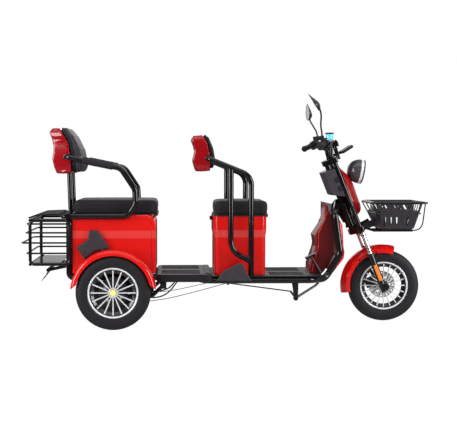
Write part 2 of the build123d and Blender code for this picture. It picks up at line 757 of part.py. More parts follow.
rear_shell_outline = [
    (rear_x - 345, 1110), (rear_x - 360, 1088), (rear_x - 336, 1010), (rear_x - 344, 941), (rear_x - 322, 856),
    (rear_x - 236, 858), (rear_x - 240, 938), (rear_x - 254, 1027), (rear_x - 302, 1112),
]
with BuildPart() as rear_backrest_shell:
    across(rear_shell_outline, -rear_back_half, rear_back_half, corner=6)
    trim_to_front(rear_back_half, 850, 1114, backrest_corner + 5, rear_x)
    for sign in sides.values():
        rod(
            (arm_rear_x, sign * (rear_back_half - 11), arm_top_z), (arm_rear_x, sign * (arm_y + 20), arm_top_z),
            arm_tube + seam, mode=Mode.SUBTRACT,
        )
        rod(
            (upright_x, sign * post_y, arm_low_z), (upright_x - 8, sign * post_y, 880.3), post_radius + seam,
            mode=Mode.SUBTRACT,
        )
save("rear_backrest_shell", rear_backrest_shell.part)

rear_pad_outline = [
    (rear_x - 235.7, 858), (rear_x - 186, 858), (rear_x - 172, 874), (rear_x - 167, 904), (rear_x - 185, 990),
    (rear_x - 220, 1063), (rear_x - 262, 1116), (rear_x - 290, 1122), (rear_x - 301.7, 1113),
    (rear_x - 253.7, 1027), (rear_x - 239.7, 938),
]
with BuildPart() as rear_backrest_pad:
    across(rear_pad_outline, -rear_back_half, rear_back_half)
    trim_to_front(rear_back_half, 856, 1124, backrest_corner + 5, rear_x)
    for sign in sides.values():
        rod(
            (arm_rear_x, sign * (rear_back_half - 11), arm_top_z), (arm_rear_x, sign * (arm_y + 20), arm_top_z),
            arm_tube + 1, mode=Mode.SUBTRACT,
        )
save("rear_backrest_pad", rear_backrest_pad.part)

# ---------------------------------------------------------------- rear fenders and side trims
tip_x, tip_z = fender_radius - 2, axle_z + 20.3
with BuildPart() as rear_fenders:
    for sign in sides.values():
        rear_tip, front_tip = (rear_x - tip_x, tip_z), (rear_x + tip_x, tip_z)
        crown, band_low = (rear_x, axle_z + fender_radius), (rear_x, axle_z + fender_radius - fender_wall)
        near, far = sorted((sign * (rear_box_half + seam), sign * fender_outer))
        with BuildSketch(Plane.XZ.offset(-far)) as band:
            with BuildLine():
                ThreePointArc(front_tip, crown, rear_tip)
                Line(rear_tip, (rear_x - tip_x + fender_wall, tip_z))
                ThreePointArc((rear_x - tip_x + fender_wall, tip_z), band_low, (rear_x + tip_x - fender_wall, tip_z))
                Line((rear_x + tip_x - fender_wall, tip_z), front_tip)
            make_face()
        extrude(band.sketch, amount=far - near)
        face = sign * fender_outer
        with BuildSketch(Plane.XZ.offset(-max(face, face - sign * fender_wall))) as lip:
            with BuildLine():
                ThreePointArc(front_tip, crown, rear_tip)
                ThreePointArc(rear_tip, (rear_x, axle_z + fender_radius - fender_lip), front_tip)
            make_face()
        extrude(lip.sketch, amount=fender_wall)
save("rear_fenders", rear_fenders.part)

trim_outline = [
    (rear_x - 205, 449), (rear_x - 142, 493), (rear_x - 134, 545), (rear_x - 90, 542), (rear_x - 22, 443),
    (rear_x - 100, 430), (rear_x - 165, 385),
]
trim_depth = 26
with BuildPart() as side_trims:
    for sign in sides.values():
        near, far = sorted((sign * (rear_box_half + seam), sign * (rear_box_half + trim_depth)))
        across(trim_outline, near, far)
        outer_face = side_trims.faces().filter_by(Axis.Y).sort_by(Axis.Y)[-1 if sign > 0 else 0]
        chamfer(outer_face.edges(), 6)
    rod((rear_x, -fender_outer, axle_z), (rear_x, fender_outer, axle_z), fender_radius + seam, mode=Mode.SUBTRACT)
save("side_trims", side_trims.part)

# ---------------------------------------------------------------- rear basket
lid_hinge_x, lid_hinge_z = upright_x - 32, basket_top + basket_tube + lid_clear
basket_hook_y = 120
with BuildPart() as rear_basket:
    for sign in sides.values():
        y = sign * basket_half
        bar(
            [
                (basket_front, y, (basket_low + basket_top) / 2), (basket_front, y, basket_top),
                (basket_back, y, basket_top), (basket_back, y, basket_low), (basket_front, y, basket_low),
                (basket_front, y, (basket_low + basket_top) / 2 + 1),
            ],
            [25, 25, 25, 25], basket_tube,
        )
        for z in (basket_top, basket_low):
            rod((basket_front, y, z), (basket_front, sign * (rail_y + frame_tube + seam), z), basket_tube)
        rod(
            (lid_hinge_x, sign * basket_hook_y - 5, lid_hinge_z), (lid_hinge_x, sign * basket_hook_y + 5, lid_hinge_z),
            lid_clear + 5,
        )
    for z in (basket_top, basket_low):
        rod((basket_back, -basket_half, z), (basket_back, basket_half, z), basket_tube)
        rod((lid_hinge_x, -basket_half, z), (lid_hinge_x, basket_half, z), basket_wire)
    for share in (0.35, 0.7):
        x = lid_hinge_x + (basket_back - lid_hinge_x) * share
        rod((x, -basket_half, basket_low), (x, basket_half, basket_low), basket_wire)
    for z, bow in basket_bars:
        reach = basket_back - bow
        bar(
            [
                (basket_front, -basket_half, z), (reach, -basket_half, z), (reach, basket_half, z),
                (basket_front, basket_half, z),
            ],
            [16, 16], basket_wire,
        )
    rod(
        (lid_hinge_x, -basket_hook_y - 8, lid_hinge_z), (lid_hinge_x, basket_hook_y + 8, lid_hinge_z),
        lid_wire + 0.1, mode=Mode.SUBTRACT,
    )
save("rear_basket", rear_basket.part)

with BuildPart() as rear_basket_tray:
    upright_block(
        (lid_hinge_x + basket_back) / 2, lid_hinge_x - basket_back - 24, 2 * basket_half - 20, 15,
        basket_low + basket_wire + seam, basket_low + basket_wire + seam + 3,
    )
save("rear_basket_tray", rear_basket_tray.part)

lid_rods = 6
lid_half = basket_half - 4
lid_back = basket_back - 4
with BuildPart() as rear_basket_lid:
    rod((lid_hinge_x, -lid_half, lid_hinge_z), (lid_hinge_x, lid_half, lid_hinge_z), lid_wire)
    rod((lid_back, -lid_half, lid_hinge_z), (lid_back, lid_half, lid_hinge_z), lid_wire)
    for number in range(lid_rods + 1):
        y = lid_half * (2 * number / lid_rods - 1)
        bar(
            [
                (lid_hinge_x, y, lid_hinge_z), (lid_hinge_x - 30, y, lid_hinge_z + lid_rise),
                (lid_back + 45, y, lid_hinge_z + lid_rise - 4), (lid_back, y, lid_hinge_z),
            ],
            [25, 40], lid_wire,
        )
save("rear_basket_lid", rear_basket_lid.part)

stay_end = (rear_x - 371, 318)
plate_top, plate_low = (rear_x - 390, 288), (rear_x - 422, 246)
plate_half = 95
with BuildPart() as plate_bracket:
    for sign in sides.values():
        rod(
            (upright_x - frame_tube - 1.7, sign * rail_y, basket_low - 16), (stay_end[0], sign * rail_y, stay_end[1]),
            basket_tube,
        )
        rod((stay_end[0], sign * 60, stay_end[1]), (plate_top[0] - 5, sign * 60, plate_top[1] - 7), 4)
    rod((stay_end[0], -rail_y - 8, stay_end[1]), (stay_end[0], rail_y + 8, stay_end[1]), basket_tube)
    across(
        [plate_top, plate_low, (plate_low[0] + 2, plate_low[1] - 1.5), (plate_top[0] + 2, plate_top[1] - 1.5)],
        -plate_half, plate_half,
    )
save("plate_bracket", plate_bracket.part)

# ---------------------------------------------------------------- brake pedal, linkage and cables
pad_x, pad_z = front_x - 438, 386
with BuildPart() as brake_pedal:
    with BuildSketch(Plane(origin=(pad_x, pedal_y, pad_z), x_dir=(0, 1, 0), z_dir=(-0.45, 0, 0.893))):
        RectangleRounded(60, 68, 10)
    extrude(amount=9)
    bar(
        [
            (pad_x, pedal_y, pad_z), (front_x - 384, pedal_y, 296), (front_x - 396, pedal_y, 236),
            (front_x - 412, pedal_y - 12, 222), (pedal_pivot[0], linkage_y, pedal_pivot[1]),
        ],
        [30, 12, 8], 7,
    )
    rod((pedal_pivot[0], linkage_y - 10, pedal_pivot[1]), (pedal_pivot[0], linkage_y + 10, pedal_pivot[1]), 14)
    crank_end = (pedal_pivot[0] - 29, linkage_y, pedal_pivot[1] + 38)
    rod((pedal_pivot[0], linkage_y, pedal_pivot[1]), crank_end, 6)
    rod(crank_end, (equaliser_x + 9, -equaliser_y, equaliser_z), 3.5)
    rod(
        (pedal_pivot[0], linkage_y - 11, pedal_pivot[1]), (pedal_pivot[0], linkage_y + 11, pedal_pivot[1]),
        5 + seam, mode=Mode.SUBTRACT,
    )
    rod(
        (equaliser_x, -equaliser_y - 9, equaliser_z), (equaliser_x, -equaliser_y + 9, equaliser_z), 9 + seam,
        mode=Mode.SUBTRACT,
    )
save("brake_pedal", brake_pedal.part)

lever_end_y = backing_y - backing_plate - 14 - seam
with BuildPart() as brake_cables:
    for sign in sides.values():
        bar(
            [
                (equaliser_x - 9.5, sign * equaliser_y, equaliser_z), (rear_x + 299, sign * 176, 152),
                (brake_lever_x, sign * (lever_end_y - 2), brake_lever_z),
            ],
            [200], 2,
        )
save("brake_cables", brake_cables.part)

with BuildPart() as motor_cables:
    for step in range(2):
        y, start_z = -motor_half - 1, axle_z - 12 - 36 * step
        bar(
            [
                (motor_x + 20, y, start_z), (motor_x + 24, y - 40 - 18 * step, start_z - 4),
                (rear_x + 262, y - 64 - 18 * step, 190 - 32 * step), (rear_x + 330, y - 66 - 18 * step, 222 - 14 * step),
                (rear_x + 366 + 12 * step, y - 60 - 18 * step, deck_top - deck_wall - 3),
            ],
            [14, 60, 60], 4,
        )
save("motor_cables", motor_cables.part)

# ---------------------------------------------------------------- fork
with BuildPart() as fork_yokes:
    for at in (lower_yoke_at, upper_yoke_at):
        with BuildSketch(steer.offset(at - yoke_depth / 2)):
            Polygon(
                (-24, -30), (fork_lead - 20, -leg_y - 22), (fork_lead + 20, -leg_y - 22),
                (fork_lead + 20, leg_y + 22), (fork_lead - 20, leg_y + 22), (-24, 30), align=None,
            )
            fillet(vertices(), 12)
        extrude(amount=yoke_depth)
    rod(on_fork(0, 0, lower_yoke_at), on_fork(0, 0, upper_yoke_at), stem_radius)
    for sign in sides.values():
        rod(
            on_fork(fork_lead, sign * leg_y, 500), on_fork(fork_lead, sign * leg_y, 1010), stanchion,
            mode=Mode.SUBTRACT,
        )
save("fork_yokes", fork_yokes.part)

with BuildPart() as fork_tubes:
    for sign in sides.values():
        rod(
            on_fork(fork_lead, sign * leg_y, slider_top - 60), on_fork(fork_lead, sign * leg_y, upper_yoke_at + 20),
            stanchion,
        )
save("fork_tubes", fork_tubes.part)

fender_half = 54
fender_centre = (front_x - 12, axle_z + 3)
fender_crown = 237
fender_shoulder = 209
fender_skirt = 188
front_fender_wall = 3
fender_bolts = [(front_x - 146, 355), (front_x - 48, 400)]
stay_up = 385  # along the slider, below the fender's skirt
with BuildPart() as fork_sliders:
    for sign in sides.values():
        rod(
            on_fork(fork_lead, sign * leg_y, slider_foot), on_fork(fork_lead, sign * leg_y, slider_top), slider
        )
        for collar_at in (slider_top - 16, slider_top - 40):
            rod(
                on_fork(fork_lead, sign * leg_y, collar_at), on_fork(fork_lead, sign * leg_y, collar_at + 10),
                slider + 2.5,
            )
        rod((front_x, sign * (leg_y - 14), axle_z), (front_x, sign * (leg_y + slider + 1), axle_z), 20)
        inner_face = sign * (fender_half - front_fender_wall - seam)
        near, far = sorted((inner_face, inner_face - sign * 4))
        across(
            [
                (fender_bolts[0][0] - 9, fender_bolts[0][1] - 2), (fender_bolts[0][0], fender_bolts[0][1] + 9),
                (fender_bolts[1][0] - 4, fender_bolts[1][1] + 9), (fender_bolts[1][0] + 8, fender_bolts[1][1]),
                (front_x - 68, 360), (front_x - 92, 358),
            ],
            near, far,
        )
        rod(on_fork(fork_lead, sign * leg_y, stay_up), on_fork(fork_lead, inner_face - sign * 2, stay_up), 8)
        rod(
            on_fork(fork_lead, sign * leg_y, slider_top - 60), on_fork(fork_lead, sign * leg_y, slider_top + 1),
            stanchion, mode=Mode.SUBTRACT,
        )
    axle_end = leg_y + slider + 1 + axle_stub
    rod((front_x, -axle_end, axle_z), (front_x, axle_end, axle_z), front_axle)
save("fork_sliders", fork_sliders.part)

reflector_low, reflector_high = 247, 343
reflector_width = 20
with BuildPart() as fork_reflectors:
    for sign in sides.values():
        outer = leg_y + slider
        with BuildSketch(steer.offset(reflector_low)):
            with Locations((fork_lead, sign * (outer - 2))):
                RectangleRounded(reflector_width, 14, 3)
        extrude(amount=reflector_high - reflector_low)
        rod(
            on_fork(fork_lead, sign * leg_y, reflector_low - 5), on_fork(fork_lead, sign * leg_y, reflector_high + 5),
            slider + seam, mode=Mode.SUBTRACT,
        )
save("fork_reflectors", fork_reflectors.part)

with BuildPart() as brake_caliper:
    with BuildSketch(steer.offset(212)):
        with Locations((-12, 46)):
            RectangleRounded(50, 22, 5)
        with Locations((16, 55.5)):
            Rectangle(46, 6.4)
    extrude(amount=56)
    with BuildSketch(steer.offset(205)):
        with Locations((-12, disc_y - disc_thickness / 2)):
            Rectangle(60, disc_thickness + 2.4)
    extrude(amount=70, mode=Mode.SUBTRACT)
    with BuildSketch(steer.offset(226)):
        with Locations((-33, 46)):
            Rectangle(8, 22)
    extrude(amount=28)
save("brake_caliper", brake_caliper.part)

# ---------------------------------------------------------------- front fender
with BuildPart() as front_fender:
    middle_x, middle_z = fender_centre
    inner_half = fender_half - front_fender_wall
    with BuildSketch(Plane.XY.offset(middle_z)):
        with BuildLine():
            Polyline(
                (middle_x + fender_shoulder, -fender_half), (middle_x + fender_skirt, -fender_half),
                (middle_x + fender_skirt, -inner_half), (middle_x + fender_shoulder - 1, -inner_half),
            )
            ThreePointArc(
                (middle_x + fender_shoulder - 1, -inner_half), (middle_x + fender_crown - front_fender_wall, 0),
                (middle_x + fender_shoulder - 1, inner_half),
            )
            Polyline(
                (middle_x + fender_shoulder - 1, inner_half), (middle_x + fender_skirt, inner_half),
                (middle_x + fender_skirt, fender_half), (middle_x + fender_shoulder, fender_half),
            )
            ThreePointArc(
                (middle_x + fender_shoulder, fender_half), (middle_x + fender_crown, 0),
                (middle_x + fender_shoulder, -fender_half),
            )
        make_face()
    fender_axis = Axis((middle_x, 0, middle_z), (0, -1, 0))
    revolve(axis=fender_axis, revolution_arc=119)
front_fender_part = front_fender.part.rotate(fender_axis, 72)
save("front_fender", front_fender_part)

# ---------------------------------------------------------------- column cover, fairing and headlight
cover_rear, cover_front = -50, 20
cover_half = 98
cover_wall = 4
cover_top = 943
with BuildPart() as column_cover:
    with BuildSketch(steer_side.offset(-cover_half)):
        Polygon((cover_rear, 806), (cover_front, 772), (cover_front, cover_top), (cover_rear, cover_top), align=None)
    extrude(amount=2 * cover_half)
    fillet(column_cover.edges().filter_by(lambda e: abs(e.length - (cover_top - 806)) < 1), 10)
    with BuildSketch(steer_side.offset(-cover_half + cover_wall)):
        Polygon(
            (cover_rear + cover_wall, 740), (cover_front + 1, 740), (cover_front + 1, cover_top - cover_wall),
            (cover_rear + cover_wall, cover_top - cover_wall), align=None,
        )
    extrude(amount=2 * (cover_half - cover_wall), mode=Mode.SUBTRACT)
    rod(on_fork(0, 0, cover_top - 10), on_fork(0, 0, cover_top + 5), stem_radius + 1, mode=Mode.SUBTRACT)
    for up in (825, 877):
        for sign in sides.values():
            rod(
                on_fork(10, sign * (cover_half - 2.5), up), on_fork(10, sign * (cover_half + 5), up), 16,
                mode=Mode.SUBTRACT,
            )
save("column_cover", column_cover.part)

lamp_tilt = 10
lamp_origin = Vector(front_x - 217, 0, 881)
lamp_ahead = Vector(cos(radians(lamp_tilt)), 0, -sin(radians(lamp_tilt)))
lamp_side = Plane(origin=lamp_origin, x_dir=lamp_ahead, z_dir=(0, -1, 0))
lamp_radius = 71
lamp_depth = 96
lens_seat = 8


def lamp_bowl(gap, mode=Mode.ADD):
    """The headlight's bell, grown all round by a gap."""
    with BuildSketch(lamp_side) as profile:
        with BuildLine():
            Line((8 - gap, 0), (8 - gap, 28 + gap))
            ThreePointArc((8 - gap, 28 + gap), (30, 56 + gap), (62, lamp_radius + gap))
            Polyline((62, lamp_radius + gap), (lamp_depth, lamp_radius + gap), (lamp_depth, 0), (8 - gap, 0))
        make_face()
    revolve(profile.sketch, axis=Axis(lamp_origin, lamp_ahead), mode=mode)


fairing_back = fork_lead + stanchion + 1
fairing_shape = [(640, 8, 24), (662, 38, 50), (700, 46, 66), (810, 49, 82), (880, 36, 84), (937, 8, 70)]
with BuildPart() as fairing:
    sections = []
    for up, depth, half in fairing_shape:
        with BuildSketch(steer.offset(up)) as section:
            with BuildLine():
                Line((fairing_back, half), (fairing_back, -half))
                ThreePointArc((fairing_back, -half), (fairing_back + depth, 0), (fairing_back, half))
            make_face()
        sections.append(section.sketch)
    loft(sections)
    lamp_bowl(seam, mode=Mode.SUBTRACT)
save("fairing", fairing.part)

lens_radius = lamp_radius - 7
with BuildPart() as headlight:
    lamp_bowl(0)
    rod(
        lamp_origin + lamp_ahead * (lamp_depth - lens_seat), lamp_origin + lamp_ahead * (lamp_depth + 5),
        lens_radius + seam, mode=Mode.SUBTRACT,
    )
save("headlight", headlight.part)

with BuildPart() as headlight_lens:
    lens_back, lens_front = lamp_depth - lens_seat + seam, lamp_depth + 4
    rod(lamp_origin + lamp_ahead * lens_back, lamp_origin + lamp_ahead * lens_front, lens_radius)
    fillet(headlight_lens.edges().sort_by(Axis(lamp_origin, lamp_ahead))[-1], 6)
save("headlight_lens", headlight_lens.part)

# ---------------------------------------------------------------- handlebar and what it carries
bar_x, bar_z = front_x - 316, 1034
bar_radius = 11.1
grip_radius = 16
grip_length = 115
bar_bend = Vector(front_x - 362, 190, 1033)
bar_end = Vector(front_x - 416, 362, 1003)
bar_run = (bar_end - bar_bend).normalized()
yoke_top = upper_yoke_at + yoke_depth / 2
dash_centre = Vector(front_x - 219, 0, 995)
dash_tilt = 32
display_radius = 21
mirror_y = 208
reservoir = Vector(front_x - 408, -226, 1041)  # of the front brake, on the right
mirror_heads = {1: (front_x - 414, 300, 1223), -1: (front_x - 429, -300, 1250)}


with BuildPart() as instrument:
    dash = Plane(
        origin=dash_centre, x_dir=(0, 1, 0), z_dir=(-sin(radians(dash_tilt)), 0, cos(radians(dash_tilt)))
    )
    with BuildSketch(dash.offset(-8)):
        RectangleRounded(130, 72, 14)
    extrude(amount=16)
    chamfer(instrument.faces().sort_by(Axis.Z)[-1].edges(), 2)
    rod(on_fork(fork_lead, 0, yoke_top + seam), on_fork(fork_lead, 0, yoke_top + 14), 10)
    rod(on_fork(fork_lead, 0, yoke_top + 10), dash_centre + Vector(-16, 0, -12), 8)
save("instrument", instrument.part)

with BuildPart() as handlebar:
    for sign in sides.values():
        middle, shoulder = (bar_x, 0, bar_z), (bar_x, sign * 90, bar_z)
        bar([middle, shoulder, mirrored(bar_bend, sign), mirrored(bar_end, sign)], [60, 60], bar_radius)
        rod(on_fork(fork_lead, sign * 45, yoke_top + seam), on_fork(fork_lead, sign * 45, yoke_top + 14), 13)
        rod(on_fork(fork_lead, sign * 45, yoke_top + 10), (bar_x, sign * 45, bar_z), 11)
        rod((bar_x, sign * 45 - 14, bar_z), (bar_x, sign * 45 + 14, bar_z), 17)
save("handlebar", handlebar.part)

with BuildPart() as display:
    rod((bar_x, 0, bar_z + bar_radius + seam), (bar_x, 0, bar_z + 48), display_radius)
save("display", display.part)

with BuildPart() as handlebar_grips:
    for sign in sides.values():
        run, end = mirrored(bar_run, sign), mirrored(bar_end, sign)
        rod(end - run * grip_length, end + run * 6, grip_radius)
        rod(end - run * (grip_length - 2), end + run * 6, grip_radius + 0.5)
        rod(end + run * 2, end + run * 8, grip_radius + 3)
        rod(end - run * (grip_length + 5), end, bar_radius, mode=Mode.SUBTRACT)
save("handlebar_grips", handlebar_grips.part)

with BuildPart() as hand_controls:
    for sign in sides.values():
        run, bend, end = mirrored(bar_run, sign), mirrored(bar_bend, sign), mirrored(bar_end, sign)
        pod = bend + run * 32
        rod(pod, pod + run * 34, 24)
        rod(bend + run * 6, bend + run * 28, 17)
        perch = bend + run * 17
        lever_root, lever_bend = perch + Vector(34, sign * 6, -4), end + Vector(52, -sign * 40, -2)
        bar([perch, lever_root, lever_bend, end + Vector(46, 0, -2)], [14, 60], 6)
        mirror_foot = Vector(perch.X, sign * mirror_y, perch.Z)
        rod(mirror_foot, mirror_foot + Vector(0, 0, 26), 9)
        rod(bend - run * 5, end, bar_radius + 0.05, mode=Mode.SUBTRACT)
    throttle = mirrored(bar_bend, -1) + Vector(-10, -20, -24)
    rod(throttle + Vector(0, 14, 0), throttle + Vector(0, -14, 0), 24)
    with BuildSketch(Plane(origin=reservoir, x_dir=(1, 0, 0.1), z_dir=(-0.1, 0, 1))):
        RectangleRounded(58, 52, 8)
    extrude(amount=24)
    rod(mirrored(bar_bend, -1) - mirrored(bar_run, -1) * 5, mirrored(bar_end, -1), bar_radius + 0.05, mode=Mode.SUBTRACT)
    rod((bar_x, 0, bar_z + 48 + seam), (bar_x, 0, bar_z + 57), display_radius + 3)
save("hand_controls", hand_controls.part)

with BuildPart() as mirrors:
    for sign in sides.values():
        perch = mirrored(bar_bend + bar_run * 17, sign)
        base = Vector(perch.X, sign * mirror_y, perch.Z + 26 + seam)
        head = Vector(*mirror_heads[sign])
        bar([base, base + Vector(0, 0, 36), head + Vector(8, -sign * 10, -60), head + Vector(8, 0, -20)], [18, 24], 5)
        with BuildSketch(Plane(origin=head, x_dir=(0, 1, 0), z_dir=(-1, 0, 0))) as glass_side:
            RectangleRounded(112, 98, 36)
        with BuildSketch(Plane(origin=head + Vector(22, 0, 0), x_dir=(0, 1, 0), z_dir=(-1, 0, 0))) as back_side:
            RectangleRounded(64, 54, 24)
        extrude(glass_side.sketch, amount=5)
        loft([glass_side.sketch, back_side.sketch])
save("mirrors", mirrors.part)

# ---------------------------------------------------------------- front basket
carrier_middle = (carrier_front + carrier_rear) / 2
carrier_length = carrier_front - carrier_rear
carrier_taper = 40
floor_shift = 12
slots_per_side = 9
slats_per_side = 5
with BuildPart() as front_basket:
    sketches = []
    for inset in (0, carrier_wall):
        with BuildSketch(Plane.XY.offset(carrier_low + inset)) as floor_section:
            with Locations((carrier_middle + floor_shift, 0)):
                RectangleRounded(
                    carrier_length - 2 * carrier_taper - 2 * inset, 2 * (carrier_half - carrier_taper - inset), 30 - inset
                )
        with BuildSketch(Plane.XY.offset(carrier_top + inset / 3)) as top_section:
            with Locations((carrier_middle, 0)):
                RectangleRounded(carrier_length - 24 - 2 * inset, 2 * (carrier_half - 12 - inset), 40 - inset)
        sketches.append([floor_section.sketch, top_section.sketch])
    loft(sketches[0])
    with BuildSketch(Plane.XY.offset(carrier_top - carrier_rim)) as rim_section:
        with Locations((carrier_middle, 0)):
            RectangleRounded(carrier_length, 2 * carrier_half, 46)
    extrude(rim_section.sketch, amount=5)
    loft(sketches[1], mode=Mode.SUBTRACT)
    with BuildSketch(Plane.XZ.offset(-carrier_half - 1)) as slots:
        with Locations((carrier_middle, carrier_low + 112)):
            with GridLocations(24, 1, slots_per_side, 1):
                SlotCenterToCenter(22, 9, rotation=-50)
        with Locations((carrier_middle + floor_shift, carrier_low + 52)):
            with GridLocations(40, 1, slats_per_side, 1):
                SlotCenterToCenter(38, 10, rotation=90)
    extrude(slots.sketch, amount=2 * carrier_half + 2, mode=Mode.SUBTRACT)
save("front_basket", front_basket.part)

bracket_y = 60
bracket_tube = 7
with BuildPart() as basket_bracket:
    bracket_z = carrier_low - bracket_tube - seam
    for sign in sides.values():
        y = sign * bracket_y
        bar(
            [
                on_fork(fork_lead + 20 + 5, y, lower_yoke_at), (carrier_rear + carrier_taper, y, bracket_z),
                (carrier_front - 90, y, bracket_z),
            ],
            [30], bracket_tube,
        )
        rod(on_fork(fork_lead + 20 + seam, y, lower_yoke_at), on_fork(fork_lead + 30, y, lower_yoke_at), 10)
    rod((carrier_front - 90, -bracket_y, bracket_z), (carrier_front - 90, bracket_y, bracket_z), bracket_tube)
save("basket_bracket", basket_bracket.part)
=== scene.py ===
# %% [markdown]
# An electric tricycle: one steered front wheel, a driver's seat on a box, and a bench over the rear axle.
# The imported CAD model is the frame. It fixes every place and size. This file adds the looks around it: finishes,
# padded seats, moulded shells, tyres with a tread, and the small parts that catch the eye.

from math import asin, cos, degrees, exp, pi, radians, sin, tau

import bmesh
import bpy
from mathutils import Matrix, Vector


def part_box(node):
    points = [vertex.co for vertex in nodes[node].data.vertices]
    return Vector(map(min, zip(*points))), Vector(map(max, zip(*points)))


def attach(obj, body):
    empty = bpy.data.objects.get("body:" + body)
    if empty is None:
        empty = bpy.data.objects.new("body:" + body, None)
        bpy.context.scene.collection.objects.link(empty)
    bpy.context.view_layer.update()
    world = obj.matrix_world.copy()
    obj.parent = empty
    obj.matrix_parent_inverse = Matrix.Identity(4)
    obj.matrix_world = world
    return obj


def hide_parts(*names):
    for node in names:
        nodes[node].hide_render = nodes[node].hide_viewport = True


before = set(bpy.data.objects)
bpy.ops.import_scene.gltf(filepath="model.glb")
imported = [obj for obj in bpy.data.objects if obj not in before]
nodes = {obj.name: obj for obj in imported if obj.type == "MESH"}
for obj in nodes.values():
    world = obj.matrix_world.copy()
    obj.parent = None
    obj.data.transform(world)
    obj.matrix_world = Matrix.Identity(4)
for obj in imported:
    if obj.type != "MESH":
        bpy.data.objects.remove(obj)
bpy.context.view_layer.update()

# %% Named places, all taken from the frame
low, high = {}, {}
for name in nodes:
    low[name], high[name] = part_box(name)


def middle(name):
    """The middle of a node's box."""
    return (low[name] + high[name]) / 2


rear_axle = middle("rear_tyre_right")
front_axle = middle("front_tyre")
tyre_radius = (high["front_tyre"].z - low["front_tyre"].z) / 2
rear_axle_x = rear_axle.x
half_track = -rear_axle.y
print("wheelbase", round(front_axle.x - rear_axle.x, 3), "track", round(2 * half_track, 3))

# %% [markdown]
# The camera stands level with the handlebar, to the vehicle's right, and looks almost square at its side.
# A long lens keeps the wheels nearly the same size, and a small shift frames the vehicle.

# %% Camera
camera_data = bpy.data.cameras.new("camera")
camera = bpy.data.objects.new("camera", camera_data)
bpy.context.scene.collection.objects.link(camera)
bpy.context.scene.camera = camera
camera_ahead_of_axle, camera_beside, camera_height = 0.3245, -6.4339, 0.9139
look_down, look_ahead = 0.049, 0.0258  # radians
camera.location = (rear_axle_x + camera_ahead_of_axle, camera_beside, camera_height)
camera.rotation_euler = (pi / 2 - look_down, 0, -look_ahead)
camera_data.sensor_width = 36
camera_data.lens = 87.81
camera_data.shift_x = 0.06
print("camera at", [round(v, 2) for v in camera.location])

# %% [markdown]
# Gloss shows what stands around an object, so the studio is part of every glossy finish. Here the wall behind
# the vehicle is bright and the side where the camera stands is dark, which keeps black paint black and gives it
# crisp edges. The background itself is plain white to the camera.

# %% World
scene = bpy.context.scene
scene.view_settings.view_transform = "Standard"


def node_maker(tree):
    """A function that adds a node to a tree, with its settings and its inputs."""

    def add(kind, inputs=(), **settings):
        node = tree.nodes.new(kind)
        for key, value in settings.items():
            setattr(node, key, value)
        for key, value in dict(inputs).items():
            node.inputs[key].default_value = value
        return node

    return add


def seen_directly(tree, add):
    """1 for the camera, for reflections and through glass, and 0 for rays that light the object."""
    path = add("ShaderNodeLightPath")
    direct = path.outputs["Is Camera Ray"]
    for kind in ("Is Glossy Ray", "Is Transmission Ray"):
        either = add("ShaderNodeMath", operation="MAXIMUM")
        tree.links.new(direct, either.inputs[0])
        tree.links.new(path.outputs[kind], either.inputs[1])
        direct = either.outputs[0]
    return direct, path.outputs["Is Camera Ray"]


camera_side_glow, wall_glow, fill_strength = 0.07, 0.5, 0.36
world = bpy.data.worlds.new("studio")
scene.world = world
world.use_nodes = True
world.node_tree.nodes.clear()
add, link = node_maker(world.node_tree), world.node_tree.links.new
direct, by_camera = seen_directly(world.node_tree, add)
towards = add("ShaderNodeTexCoord")
split = add("ShaderNodeSeparateXYZ")
wall = add("ShaderNodeMapRange", {"From Min": -0.3, "From Max": 0.4, "To Min": camera_side_glow, "To Max": wall_glow})
strength = add("ShaderNodeMath", operation="MAXIMUM")
backdrop = add("ShaderNodeBackground", {"Color": (1, 1, 1, 1)})
fill_light = add("ShaderNodeBackground", {"Color": (1, 1, 1, 1), "Strength": fill_strength})
choose = add("ShaderNodeMixShader")
world_out = add("ShaderNodeOutputWorld")
link(towards.outputs["Generated"], split.inputs[0])
link(split.outputs["Y"], wall.inputs["Value"])
link(wall.outputs[0], strength.inputs[0])
link(by_camera, strength.inputs[1])
link(strength.outputs[0], backdrop.inputs["Strength"])
link(direct, choose.inputs[0])
link(fill_light.outputs[0], choose.inputs[1])
link(backdrop.outputs[0], choose.inputs[2])
link(choose.outputs[0], world_out.inputs[0])
print("world ready")

# %% [markdown]
# The floor is a wide pale sheet. To the camera it is mostly its own plain white, so that it runs into the
# backdrop with no horizon, and the rest of it takes light, which leaves a faint shadow under the wheels.
# Reflections see the floor too, dimmer the further it is away, so that low paint doesn't turn pale.

# %% Floor


def new_material(name):
    """An empty node material with its node maker and its link function."""
    material = bpy.data.materials.new(name)
    material.use_nodes = True
    material.node_tree.nodes.clear()
    return material, node_maker(material.node_tree), material.node_tree.links.new


floor_mesh = bpy.data.meshes.new("studio_floor")
form = bmesh.new()
bmesh.ops.create_grid(form, x_segments=1, y_segments=1, size=30)
form.to_mesh(floor_mesh)
form.free()
studio_floor = bpy.data.objects.new("studio_floor", floor_mesh)
scene.collection.objects.link(studio_floor)

